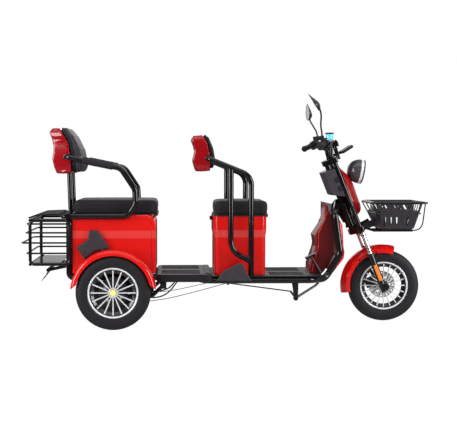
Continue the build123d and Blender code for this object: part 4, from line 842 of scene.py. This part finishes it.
def moulded(name, form, voxel, rounds, finishes, body, slot, *stands_for, choose=None):
    """Round a closed block's edges as a mould does, and make a piece of it."""
    rough = remeshed(name + "_raw", form, voxel)
    form = bmesh.new()
    form.from_mesh(rough.data)
    bpy.data.objects.remove(rough)
    for _ in range(rounds):
        bmesh.ops.smooth_vert(form, verts=form.verts, factor=0.5, use_axis_x=True, use_axis_y=True, use_axis_z=True)
    bmesh.ops.recalc_face_normals(form, faces=form.faces)
    return add_piece(name, form, finishes, body, slot, *stands_for, crease=180, choose=choose)


shell_shape = {
    "rear": [(-0.345, 1.110), (-0.360, 1.088), (-0.345, 1.050), (-0.337, 1.010), (-0.338, 0.975), (-0.345, 0.941),
             (-0.336, 0.900), (-0.322, 0.857), (-0.280, 0.856), (-0.2365, 0.858), (-0.2405, 0.938),
             (-0.2545, 1.027), (-0.302, 1.111)],
    "driver": [(0.442, 1.070), (0.432, 1.049), (0.444, 1.018), (0.452, 0.984), (0.446, 0.955), (0.440, 0.933),
               (0.448, 0.900), (0.459, 0.868), (0.500, 0.868), (0.5375, 0.872), (0.5355, 0.960), (0.5195, 1.030),
               (0.4935, 1.073)],
}
shell_voxel, smoothing_rounds, shell_corner = 0.004, 3, 0.05
seam_depth, side_taper, taper_zone, back_dish = 0.052, 0.026, 0.09, 0.008
for side in ("rear", "driver"):
    node = side + "_backrest_shell"
    form = bmesh.new()
    half = high[node].y
    bottom, top = low[node].z, high[node].z
    side_block(form, [(rear_axle_x + x, z) for x, z in shell_shape[side]], -half, half)
    cut_across(form, 26, 12, half, bottom, top)
    round_to_front(form, half, bottom - 0.006, top + 0.004, shell_corner)
    seam_at, back_at = high[node].x - seam_depth, low[node].x
    for vert in form.verts:
        behind = max(0.0, (seam_at - vert.co.x) / (seam_at - back_at))
        beside = max(0.0, (abs(vert.co.y) - half + taper_zone) / taper_zone)
        vert.co.y -= (side_taper * min(1.0, 2.2 * behind) * beside) * (1 if vert.co.y > 0 else -1)
        middle_dip = max(0.0, 1 - (vert.co.y / (0.7 * half)) ** 2)
        vert.co.x += back_dish * middle_dip * min(1.0, behind * 1.5)
    moulded(node + "_moulded", form, shell_voxel, smoothing_rounds, shell_red, "chassis", "red_paint", node)

# %% [markdown]
# A rear mudguard is one strip bent round the wheel: flat on top, and rolled over at its outer edge into a lip.
# Its cross-section is drawn once, with a thin wall, and spun through the arc between its two tips. Two slanted
# cuts then give the tips their points.

# %% Rear mudguards
guard_radius = high["rear_fenders"].z - rear_axle.z
guard_tip = low["rear_fenders"].z - rear_axle.z
box_side = -high["rear_box"].y
guard_edge = low["rear_fenders"].y
wall = 0.003
outside = [(guard_radius, box_side - 0.0004), (guard_radius, guard_edge + 0.026)]
outside += [(guard_radius - 0.0015, guard_edge + 0.016), (guard_radius - 0.005, guard_edge + 0.008)]
outside += [(guard_radius - 0.011, guard_edge + 0.0025), (guard_radius - 0.018, guard_edge)]
outside += [(guard_radius - 0.030, guard_edge)]
inside = [(guard_radius - 0.030, guard_edge + wall), (guard_radius - 0.0185, guard_edge + wall)]
inside += [(guard_radius - 0.0125, guard_edge + 0.005), (guard_radius - 0.0072, guard_edge + 0.0102)]
inside += [(guard_radius - 0.0042, guard_edge + 0.0172), (guard_radius - wall, guard_edge + 0.026)]
inside += [(guard_radius - wall, box_side - 0.0004)]
start_angle = asin(guard_tip / guard_radius)
form = bmesh.new()
ring = [form.verts.new((rear_axle_x + radius, y, rear_axle.z)) for radius, y in outside + inside]
face = form.faces.new(ring)
hub_point = (rear_axle_x, 0, rear_axle.z)
bmesh.ops.rotate(form, verts=ring, cent=hub_point, matrix=Matrix.Rotation(-start_angle, 3, "Y"))
bmesh.ops.spin(
    form, geom=[face], cent=hub_point, axis=(0, -1, 0), angle=pi - 2 * start_angle, steps=56, use_merge=False
)
bmesh.ops.remove_doubles(form, verts=form.verts, dist=weld)
for ahead in (1, -1):
    tip = Vector((rear_axle_x + ahead * (guard_radius - 0.002), 0, rear_axle.z + guard_tip))
    ends = [f for f in form.faces if ahead * (f.calc_center_median().x - rear_axle_x) > 0.75 * guard_radius]
    geometry = list({item for f in ends for item in (f, *f.edges, *f.verts)})
    down = Vector((-ahead * 0.60, 0, -0.80)).normalized()
    bmesh.ops.bisect_plane(form, geom=geometry, plane_co=tip, plane_no=down, clear_outer=True)
bmesh.ops.holes_fill(form, edges=[e for e in form.edges if e.is_boundary], sides=0)
bmesh.ops.recalc_face_normals(form, faces=form.faces)
mirror_to_left(form)
add_piece("rear_mudguards", form, red_paint, "chassis", "red_paint", "rear_fenders", crease=30)
print("mudguard arc", round(180 - 2 * degrees(start_angle)), "degrees")

# %% [markdown]
# The leg shield stands between the front tubes. Its sides are a darker red, which is painted shade, its rear edge
# is rounded towards the rider's knees, and it wears a grey cap. The shape is a side view pulled across and bevelled.
# The cap is the same mesh with another finish above a slanted line, so a cut along that line gives the two finishes a
# clean border.

# %% Leg shield
inner_outline = [
    (1.195, 0.692), (1.231, 0.684), (1.228, 0.600), (1.246, 0.420), (1.226, 0.360), (1.170, 0.2885),
    (1.107, 0.2885), (1.108, 0.336), (1.141, 0.430), (1.145, 0.457), (1.137, 0.502), (1.195, 0.591),
]
shield_half = high["inner_shield"].y
cap_x, cap_z, cap_slant, cap_from = 1.207, 0.655, 1.9, 1.19


def shield_finish(face):
    """Cap, shaded side or edge, from where a face is and where it looks. The sides get a darker red as painted shade.
    """
    place = face.calc_center_median()
    ahead = place.x - rear_axle_x
    if place.z > cap_z - cap_slant * (ahead - cap_x) and ahead > cap_from:
        return 2
    # Faces that look sideways take the darker red, which is painted shade.
    return 1 if abs(face.normal.y) > 0.8 else 0


form = bmesh.new()
side_block(form, [(rear_axle_x + x, z) for x, z in inner_outline], -shield_half, shield_half)
cap_line = Vector((rear_axle_x + cap_x, 0, cap_z))
bmesh.ops.bisect_plane(form, geom=everything(form), plane_co=cap_line, plane_no=(cap_slant, 0, 1))
bmesh.ops.recalc_face_normals(form, faces=form.faces)
sides = [f for f in form.faces if abs(f.normal.y) > 0.9]
rear_edges = [
    e for e in form.edges
    if any(f in sides for f in e.link_faces) and any(f not in sides and f.normal.x < -0.1 for f in e.link_faces)
]
round_edges(form, rear_edges, 0.013, 4)
finishes = [deep_red, panel_red, gloss_grey]
add_piece("leg_shield_body", form, finishes, "chassis", "red_paint", "inner_shield", choose=shield_finish)

front_outline = [
    (1.262, 0.612), (1.282, 0.592), (1.298, 0.558), (1.303, 0.495), (1.306, 0.432), (1.312, 0.404), (1.306, 0.368),
    (1.244, 0.286), (1.226, 0.298), (1.266, 0.380), (1.256, 0.470), (1.242, 0.600),
]
form = bmesh.new()
side_block(form, [(rear_axle_x + x, z) for x, z in front_outline], -0.102, 0.102)
bmesh.ops.recalc_face_normals(form, faces=form.faces)
front_edges = [
    e for e in form.edges
    if any(abs(f.normal.y) > 0.9 for f in e.link_faces) and any(f.normal.x > 0.1 for f in e.link_faces)
]
round_edges(form, front_edges, 0.02, 5)
add_piece("leg_shield_cover", form, red_paint, "chassis", "red_paint", "leg_shield", crease=30)
print("leg shield ready")

# %% [markdown]
# Much of the front end is tube and wire. A curve with a round bevel makes a rod that bends smoothly, and one
# curve can hold several runs. Parts of the steering lean back with the steering axis, so a helper gives places
# ahead of, beside and along that axis, as a mechanic would measure them.

# %% Rods and the steering axis


def rod_curve(name, routes, radius, closed=False):
    """A curve object with round rods along smooth routes. Each route is a list of points."""
    curve = bpy.data.curves.new(name, "CURVE")
    curve.dimensions = "3D"
    curve.bevel_depth = radius
    curve.bevel_resolution = 3
    curve.resolution_u = 12
    curve.use_fill_caps = True
    for route in routes:
        spline = curve.splines.new("NURBS")
        spline.points.add(len(route) - 1)
        for point, place in zip(spline.points, route):
            point.co = (*place, 1)
        spline.order_u = 3
        spline.use_cyclic_u = closed
        spline.use_endpoint_u = not closed
    rods = bpy.data.objects.new(name, curve)
    scene.collection.objects.link(rods)
    return rods


def bent_rods(name, routes, radius, finish, body, slot, *stands_for, closed=False):
    """Bent rods as a piece of the vehicle."""
    rods = rod_curve(name, routes, radius, closed)
    rods.data.materials.append(finish)
    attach(rods, body)
    if stands_for:
        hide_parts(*stands_for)
    return rods


def at(x, y, z):
    """A place given as x ahead of the rear axle, y and z."""
    return Vector((rear_axle_x + x, y, z))


def side_view(*points):
    """An outline for side_block, from points given as x ahead of the rear axle and z."""
    return [tuple(at(x, 0, z).xz) for x, z in points]


bead = [(1.217, 0.648), (1.186, 0.575), (1.156, 0.508), (1.161, 0.458), (1.157, 0.425), (1.128, 0.345), (1.124, 0.294)]
beads = [[at(x, side * shield_half, z) for x, z in bead] for side in (-1, 1)]
bent_rods("leg_shield_beads", beads, 0.0018, red_paint, "chassis", "red_paint")

rake, trail = radians(21.5), 0.028
fork_lead, fork_leg_y = 0.036, 0.078


def on_fork(forward, left, up):
    """A place ahead of, beside and along the steering axis."""
    x = front_axle.x + trail + forward * cos(rake) - up * sin(rake)
    return Vector((x, left, forward * sin(rake) + up * cos(rake)))


print("front leg top at", [round(v, 3) for v in on_fork(fork_lead, fork_leg_y, 0.985)])

# %% [markdown]
# The front basket is a thin plastic tub with pierced sides in a wire frame. A block is tapered, rounded, opened
# at the top and given a wall. The openings are cut by a second mesh with a Boolean modifier, because a slot
# through a tapered wall is hard to cut by hand.

# %% Front basket
tub_top, tub_floor, tub_middle, tub_wall = 0.693, 0.538, 1.606, 0.003
tub_length, tub_width, foot_front, foot_rear, foot_share = 0.290, 0.348, 1.706, 1.508, 0.79
window_z, slot_z, floor_slot_z = 0.662, 0.663, 0.583
half_way_up = (tub_top + tub_floor) / 2
form = bmesh.new()
for vert in block(form, at(tub_middle, 0, half_way_up), (tub_length, tub_width, tub_top - tub_floor)):
    if vert.co.z < half_way_up:
        vert.co.y *= foot_share
        vert.co.x = rear_axle_x + (foot_front if vert.co.x > rear_axle_x + tub_middle else foot_rear)
round_edges(form, [e for e in form.edges if abs((e.verts[0].co - e.verts[1].co).z) > 0.1], 0.045, 6)
lid = [f for f in form.faces if f.normal.z > 0.9]
bmesh.ops.delete(form, geom=lid, context="FACES_ONLY")
foot = [e for e in form.edges if all(v.co.z < tub_floor + 0.001 for v in e.verts)]
round_edges(form, foot, 0.012, 3)
bmesh.ops.recalc_face_normals(form, faces=form.faces)
bmesh.ops.solidify(form, geom=form.faces[:], thickness=tub_wall)
tub = add_piece("front_basket_tub", form, basket_plastic, "steering", "deck_plastic", "front_basket")

cutters = bmesh.new()
through = (-0.3, 0.3)
side_block(cutters, side_view((1.464, 0.682), (1.500, 0.682), (1.501, 0.640), (1.476, 0.640)), *through)
side_block(cutters, side_view((1.683, 0.682), (1.727, 0.682), (1.719, 0.642), (1.683, 0.642)), *through)
short, long = 0.022, 0.036
slots = [(1.517, short), (1.536, long), (1.568, short), (1.589, long), (1.609, short), (1.640, long), (1.661, short)]
for x, length in slots:
    made = block(cutters, (0, 0, 0), (0.0095, 0.6, length))
    turn = Matrix.Translation(at(x, 0, slot_z)) @ Matrix.Rotation(radians(-30), 4, "Y")
    bmesh.ops.transform(cutters, matrix=turn, verts=made)
for x in (1.529, 1.562, 1.595, 1.627, 1.659):
    block(cutters, at(x, 0, floor_slot_z), (0.012, 0.6, 0.050))
for y in (-0.10, -0.06, -0.02, 0.02, 0.06, 0.10):
    block(cutters, at(tub_middle, y, floor_slot_z), (0.5, 0.014, 0.046))
for y in (-0.11, -0.055, 0.0, 0.055, 0.11):
    block(cutters, at(tub_middle, y, window_z), (0.5, 0.043, 0.038))
bmesh.ops.recalc_face_normals(cutters, faces=cutters.faces)
cutter_mesh = bpy.data.meshes.new("basket_cutters")
cutters.to_mesh(cutter_mesh)
cutters.free()
cutter = bpy.data.objects.new("basket_cutters", cutter_mesh)
scene.collection.objects.link(cutter)
cut = tub.modifiers.new("openings", "BOOLEAN")
cut.operation, cut.solver, cut.object, cut.use_self = "DIFFERENCE", "EXACT", cutter, True
settle(tub)
bpy.data.objects.remove(cutter)
tub.data.shade_smooth()
tub.data.set_sharp_from_angle(angle=radians(30))


def hoop(rear, front, half, z, reach=0.05):
    """Control points of a level rounded rectangle."""
    points = []
    for x, y, dx, dy in ((rear, -half, 1, 1), (front, -half, -1, 1), (front, half, -1, -1), (rear, half, 1, -1)):
        trio = [at(x + dx * reach, y, z), at(x, y, z), at(x, y + dy * reach, z)]
        points += trio[::-1] if (dx, dy) in ((1, 1), (-1, -1)) else trio
    return points


rim = hoop(1.451, 1.768, 0.179, 0.690)
bent_rods("basket_rim", [rim], 0.0058, tube_black, "steering", "frame_black", closed=True)
lips = [hoop(1.460, 1.752, 0.175, 0.694, 0.055), hoop(1.481, 1.734, 0.157, 0.629, 0.045)]
bent_rods("basket_lips", lips, 0.0042, basket_plastic, "steering", "deck_plastic", closed=True)
stays = []
for y in (-1, 1):
    stays.append([at(1.760, y * 0.150, 0.690), at(1.751, y * 0.150, 0.620), at(1.745, y * 0.145, 0.560),
                  at(1.722, y * 0.13, 0.533), at(1.660, y * 0.11, 0.530), at(1.520, y * 0.10, 0.530)])
    for shift in (0, 0.020):
        stays.append([at(1.452 + shift, y * 0.165, 0.690), at(1.478 + shift, y * 0.155, 0.640),
                      at(1.512 + shift, y * 0.12, 0.562), at(1.528 + shift, y * 0.10, 0.532)])
bent_rods("basket_stays", stays, 0.0036, tube_black, "steering", "frame_black")
arms = bmesh.new()
side_block(arms, side_view((1.404, 0.556), (1.470, 0.592), (1.496, 0.560), (1.424, 0.530)), -0.073, -0.069)
mirror_to_left(arms)
add_piece("basket_arms", arms, deck_plastic, "steering", "frame_black")
print("basket openings cut, faces", len(tub.data.polygons))

# %% [markdown]
# The headlight is a glossy dark bell with a bright ring and a clear front. Each is a lathe section, made round
# the Y axis and then turned to point ahead and ten degrees down.

# %% Headlight
lamp_tilt = radians(10)
lamp_ahead = Vector((cos(lamp_tilt), 0, -sin(lamp_tilt)))
lamp_turn = lamp_ahead.to_track_quat("Y", "Z").to_matrix().to_4x4()
lamp_turn.translation = at(1.332, 0, 0.881)


def add_lamp_part(name, section, finish, slot, *stands_for, closed=True):
    """One turned part of the headlight."""
    form = bmesh.new()
    lathe(form, section, (0, 0, 0), steps=64, closed=closed)
    tidy(form)
    bmesh.ops.transform(form, matrix=lamp_turn, verts=form.verts)
    return add_piece(name, form, finish, "steering", slot, *stands_for, crease=50)


bell = [(0.0001, 0.008), (0.028, 0.0085), (0.042, 0.015), (0.054, 0.027), (0.0630, 0.042), (0.0685, 0.058)]
bell += [(0.0702, 0.068), (0.0704, 0.074), (0.0690, 0.075), (0.066, 0.068), (0.0001, 0.066)]
add_lamp_part("lamp_bell", bell, bell_black, "grey_plastic", "headlight", closed=False)
band = [(0.0690, 0.0738), (0.0708, 0.0748), (0.0710, 0.0880), (0.0690, 0.0890)]
add_lamp_part("lamp_band", band, rim_alloy, "chrome")
bezel = [(0.0690, 0.0885), (0.0706, 0.0892), (0.0706, 0.0940), (0.0695, 0.0968)]
bezel += [(0.0668, 0.0980), (0.0645, 0.0965), (0.0650, 0.0885)]
add_lamp_part("lamp_bezel", bezel, bell_black, "grey_plastic")
glass = [(0.0001, 0.1000), (0.020, 0.0996), (0.038, 0.0984), (0.052, 0.0966)]
glass += [(0.0600, 0.0950), (0.0648, 0.0925), (0.0648, 0.0860), (0.0001, 0.0860)]
add_lamp_part("lamp_glass", glass, clear_lens, "lens_glass", "headlight_lens", closed=False)
print("headlight ready")

# %% [markdown]
# The fork's upper tubes are black, but the short length that slides in and out is hard chrome with two dust
# rings. The cover of the column has two round dimples on each side. All are small turned parts, placed from the
# steering axis.

# %% Fork sleeves and column dimples
sleeve_radius, cover_side = 0.0138, 0.0982
dimple = [(0.0160, -0.0006), (0.0168, 0.0010), (0.0150, 0.0010), (0.0140, -0.0006)]
sleeves, rings, dimples = bmesh.new(), bmesh.new(), bmesh.new()
for y in (-fork_leg_y, fork_leg_y):
    rod_between(sleeves, on_fork(fork_lead, y, 0.410), on_fork(fork_lead, y, 0.540), sleeve_radius, 32)
    for low_at in (0.424, 0.444, 0.524):
        rod_between(rings, on_fork(fork_lead, y, low_at), on_fork(fork_lead, y, low_at + 0.005), 0.0156, 32)
round_edges(rings, [e for e in rings.edges if e.calc_face_angle(0) > 0.8], 0.0015, 2)
add_piece("fork_chrome", sleeves, bright_chrome, "steering", "chrome", crease=30)
add_piece("fork_dust_rings", rings, cast_grey, "steering", "frame_black", crease=30)
for up in (0.825, 0.877):
    for y in (-cover_side, cover_side):
        seat = on_fork(0.008, y, up)
        lathe(dimples, dimple, seat, steps=40)
        rod_between(dimples, seat - Vector((0, 0.0004, 0)), seat + Vector((0, 0.0004, 0)), 0.0141, 40)
tidy(dimples)
add_piece("column_dimples", dimples, deck_plastic, "steering", "grey_plastic")
print("fork dressed")

# %% [markdown]
# A mirror head is half an egg with a flat front. A sphere is scaled, its rear half is pressed flat, and the
# flat face becomes glass. The two heads are set differently: each is turned towards the rider.

# %% Mirrors
mirror_heads = {
    "left": (at(1.1405, 0.300, 1.223), 0.052, radians(2), radians(5)),
    "right": (at(1.100, -0.300, 1.249), 0.057, radians(32), radians(-8)),
}
head_depth, head_half_width = 0.030, 0.055
taper_from, width_loss, depth_loss = 0.45, 0.5, 0.8
for side, (place, half_height, lean, turn) in mirror_heads.items():
    form = bmesh.new()
    bmesh.ops.create_uvsphere(form, u_segments=40, v_segments=24, radius=1)
    bmesh.ops.rotate(form, verts=form.verts, matrix=Matrix.Rotation(pi / 2, 3, "Y"))
    for vert in form.verts:
        upper = max(0.0, (vert.co.z + taper_from) / (1 + taper_from))
        narrow, thin = 1 - width_loss * upper**2, 1 - depth_loss * upper
        ahead, beside = head_depth * thin * max(vert.co.x, 0.0), head_half_width * narrow * vert.co.y
        vert.co = Vector((ahead, beside, half_height * vert.co.z))
    set_to = Matrix.Translation(place) @ Matrix.Rotation(turn, 4, "Z") @ Matrix.Rotation(-lean, 4, "Y")
    rear_face = [f for f in form.faces if all(v.co.x < 0.0002 for v in f.verts)]
    bmesh.ops.dissolve_faces(form, faces=rear_face)
    tidy(form)
    flat = [f for f in form.faces if f.normal.x < -0.95 and f.calc_area() > 0.002]
    bmesh.ops.inset_region(form, faces=flat, thickness=0.002, depth=0.0, use_even_offset=True)
    bmesh.ops.inset_region(form, faces=flat, thickness=0.001, depth=-0.001, use_even_offset=True)
    for face in form.faces:
        face.material_index = 1 if face in flat else 0
    bmesh.ops.transform(form, matrix=set_to, verts=form.verts)
    finishes = [mirror_black, mirror_glass]
    replaced = ["mirrors"] if side == "left" else []
    add_piece("mirror_head_" + side, form, finishes, "steering", "grey_plastic", *replaced, crease=40)
near_arm = [at(1.162, -0.208, 1.052), at(1.161, -0.210, 1.085), at(1.149, -0.235, 1.125)]
near_arm += [at(1.149, -0.280, 1.190), at(1.134, -0.300, 1.216)]
far_arm = [at(1.190, 0.208, 1.060), at(1.190, 0.212, 1.095), at(1.170, 0.255, 1.135)]
far_arm += [at(1.152, 0.298, 1.178), at(1.148, 0.300, 1.200)]
bent_rods("mirror_arms", [near_arm, far_arm], 0.0048, tube_black, "steering", "frame_black")
bases = bmesh.new()
for foot, z in ((near_arm[0], 1.052), (far_arm[0], 1.060)):
    rod_between(bases, foot - Vector((0, 0, 0.030)), foot + Vector((0, 0, 0.012)), 0.0085, 24)
    rod_between(bases, foot + Vector((0, 0, 0.008)), foot + Vector((0, 0, 0.022)), 0.0070, 6)
round_edges(bases, [e for e in bases.edges if e.calc_face_angle(0) > 0.9], 0.0012, 2)
add_piece("mirror_bases", bases, tube_black, "steering", "frame_black", crease=40)
print("mirrors", list(mirror_heads))

# %% [markdown]
# Hands and arms rest on ribbed rubber. A sleeve is a plain core with a row of short, thicker rods on it, whose
# rims are bevelled. The number of ribs follows from the sleeve's length.

# %% Ribbed grips


def ribbed_sleeve(form, start, end, radius, groove, pitch):
    """A rubber sleeve with rounded ribs along its length."""
    start, end = Vector(start), Vector(end)
    rod_between(form, start, end, radius - groove, 32)
    count = int((end - start).length / pitch)
    step = (end - start) / count
    edges_before = set(form.edges)
    for number in range(count):
        rod_between(form, start + step * (number + 0.08), start + step * (number + 0.88), radius, 32)
    rims = [e for e in form.edges if e not in edges_before and e.calc_face_angle(0) > 0.8]
    round_edges(form, rims, groove * 0.8, 2)


form = bmesh.new()
sleeve_rear, sleeve_front = at(-0.171, -0.268, 0.9314), at(-0.0023, -0.268, 0.8967)
ribbed_sleeve(form, sleeve_rear, sleeve_front, 0.0200, 0.0014, 0.012)
mirror_to_left(form)
add_piece("arm_grips_ribbed", form, grip_rubber, "chassis", "grip_rubber", "arm_grips", crease=30)

bar_end = at(1.133, -0.362, 1.003)
bar_run = (bar_end - at(1.187, -0.190, 1.033)).normalized()
form = bmesh.new()
ribbed_sleeve(form, bar_end - bar_run * 0.106, bar_end + bar_run * 0.002, 0.0160, 0.0012, 0.006)
edges_before = set(form.edges)
rod_between(form, bar_end - bar_run * 0.115, bar_end - bar_run * 0.105, 0.0190, 40)
rod_between(form, bar_end + bar_run * 0.001, bar_end + bar_run * 0.008, 0.0188, 40)
round_edges(form, [e for e in form.edges if e not in edges_before and e.calc_face_angle(0) > 0.8], 0.002, 3)
mirror_to_left(form)
add_piece("bar_grips_ribbed", form, grip_rubber, "steering", "grip_rubber", "handlebar_grips", crease=30)
print("ribbed sleeves on the arms", round((sleeve_front - sleeve_rear).length, 3), "m long")

# %% [markdown]
# Two thin wires pull the rear brakes, and two cables feed the motor. Each is a free cord with a real length. Its
# line is a NURBS spline through a few chosen points, and the length is measured on that line before the cord
# gets its thickness.

# %% Brake wires and motor cables


def free_cord(name, route, radius, finish, slot, stiffness, *stands_for):
    """One cord of the chassis, from where it leaves the object to where it goes back in."""
    line = rod_curve(name + "_line", [route], 0.0)
    graph = bpy.context.evaluated_depsgraph_get()
    drawn = bpy.data.meshes.new_from_object(line.evaluated_get(graph))
    ends = [[drawn.vertices[index].co for index in edge.vertices] for edge in drawn.edges]
    length = sum((a - b).length for a, b in ends)
    bpy.data.meshes.remove(drawn)
    bpy.data.objects.remove(line)
    cord = bent_rods(name, [route], radius, finish, "chassis", slot, *stands_for)
    return length


wire_radius, cable_radius = 0.002, 0.004
for side, sign in (("left", 1), ("right", -1)):
    route = [at(0.6305, sign * 0.120, 0.232), at(0.465, sign * 0.148, 0.190), at(0.299, sign * 0.176, 0.152),
             at(0.190, sign * 0.228, 0.144), at(0.084, sign * 0.2807, 0.140)]
    replaced = ["brake_cables"] if sign > 0 else []
    length = free_cord("brake_wire_" + side, route, wire_radius, tube_black, "frame_black", "stiff", *replaced)
    print("brake wire", side, round(length, 3), "m")
cable_routes = {
    "upper": [(0.1683, -0.086, 0.1945), (0.1723, -0.126, 0.1905), (0.262, -0.150, 0.190), (0.330, -0.152, 0.222),
              (0.366, -0.146, 0.293)],
    "lower": [(0.1683, -0.086, 0.1585), (0.1723, -0.144, 0.1545), (0.262, -0.168, 0.158), (0.330, -0.170, 0.208),
              (0.378, -0.164, 0.293)],
}
for which, places in cable_routes.items():
    replaced = ["motor_cables"] if which == "upper" else []
    route = [at(*place) for place in places]
    length = free_cord("motor_cable_" + which, route, cable_radius, grip_rubber, "grip_rubber", "medium", *replaced)
    print("motor cable", which, round(length, 3), "m")

# %% [markdown]
# The handlebar stands on four thin risers with a clamp block on top of each pair. The risers lean back with the
# fork. The two blocks are held by four bolts, two on each.

# %% Risers and clamp
riser_side, riser_radius, clamp_half = 0.042, 0.0062, 0.013
clamp = side_view((1.200, 0.998), (1.208, 1.030), (1.270, 1.046), (1.282, 1.014))
form = bmesh.new()
for y in (-riser_side, riser_side):
    for foot, top in (((1.232, 0.925), (1.212, 1.004)), ((1.286, 0.938), (1.262, 1.016))):
        rod_between(form, at(foot[0], y, foot[1]), at(top[0], y, top[1]), riser_radius, 24)
for y in (-riser_side, riser_side):
    edges_before = set(form.edges)
    side_block(form, clamp, y - clamp_half, y + clamp_half)
    round_edges(form, [e for e in form.edges if e not in edges_before], 0.003, 2)
    for x, z in ((1.216, 1.028), (1.262, 1.041)):
        rod_between(form, at(x, y, z), at(x - 0.001, y, z + 0.008), 0.0042, 6)
add_piece("bar_risers", form, tube_black, "steering", "frame_black", crease=40)
print("risers ready")

# %% [markdown]
# Small fasteners say how things are held. Round-headed bolts hold the front fender and the side trims, and hexagon
# bolts carry the swing arms. A bolt is a short rod with a bevelled rim. Six sides make it a hexagon.

# %% Fasteners


def bolt_head(form, place, radius, tall, sides=24):
    """A head standing out to the right, from a place on the surface."""
    edges_before = set(form.edges)
    rod_between(form, place + Vector((0, 0.002, 0)), place - Vector((0, tall, 0)), radius, sides)
    rims = [e for e in form.edges if e not in edges_before and max(v.co.y for v in e.verts) < place.y]
    round_edges(form, rims, tall * 0.45, 2)


form = bmesh.new()
fender_side = low["front_fender"].y
for x, z in ((1.403, 0.355), (1.501, 0.400)):
    bolt_head(form, at(x, fender_side, z), 0.0055, 0.003)
mirror_to_left(form)
add_piece("fender_bolts", form, tube_black, "steering", "frame_black", crease=40)
form = bmesh.new()
trim_side = low["side_trims"].y
for x, z in ((-0.118, 0.520), (-0.165, 0.420), (-0.062, 0.438)):
    bolt_head(form, at(x, trim_side, z), 0.006, 0.003)
rail_side = low["rail_covers"].y
for x in (0.612, 0.668, 0.722):
    bolt_head(form, at(x, rail_side, 0.292), 0.0055, 0.003)
bolt_head(form, at(0.273, low["swing_arms"].y, 0.233), 0.013, 0.009, 6)
mirror_to_left(form)
add_piece("chassis_bolts", form, cast_grey, "chassis", "frame_black", crease=40)
print("fasteners ready")
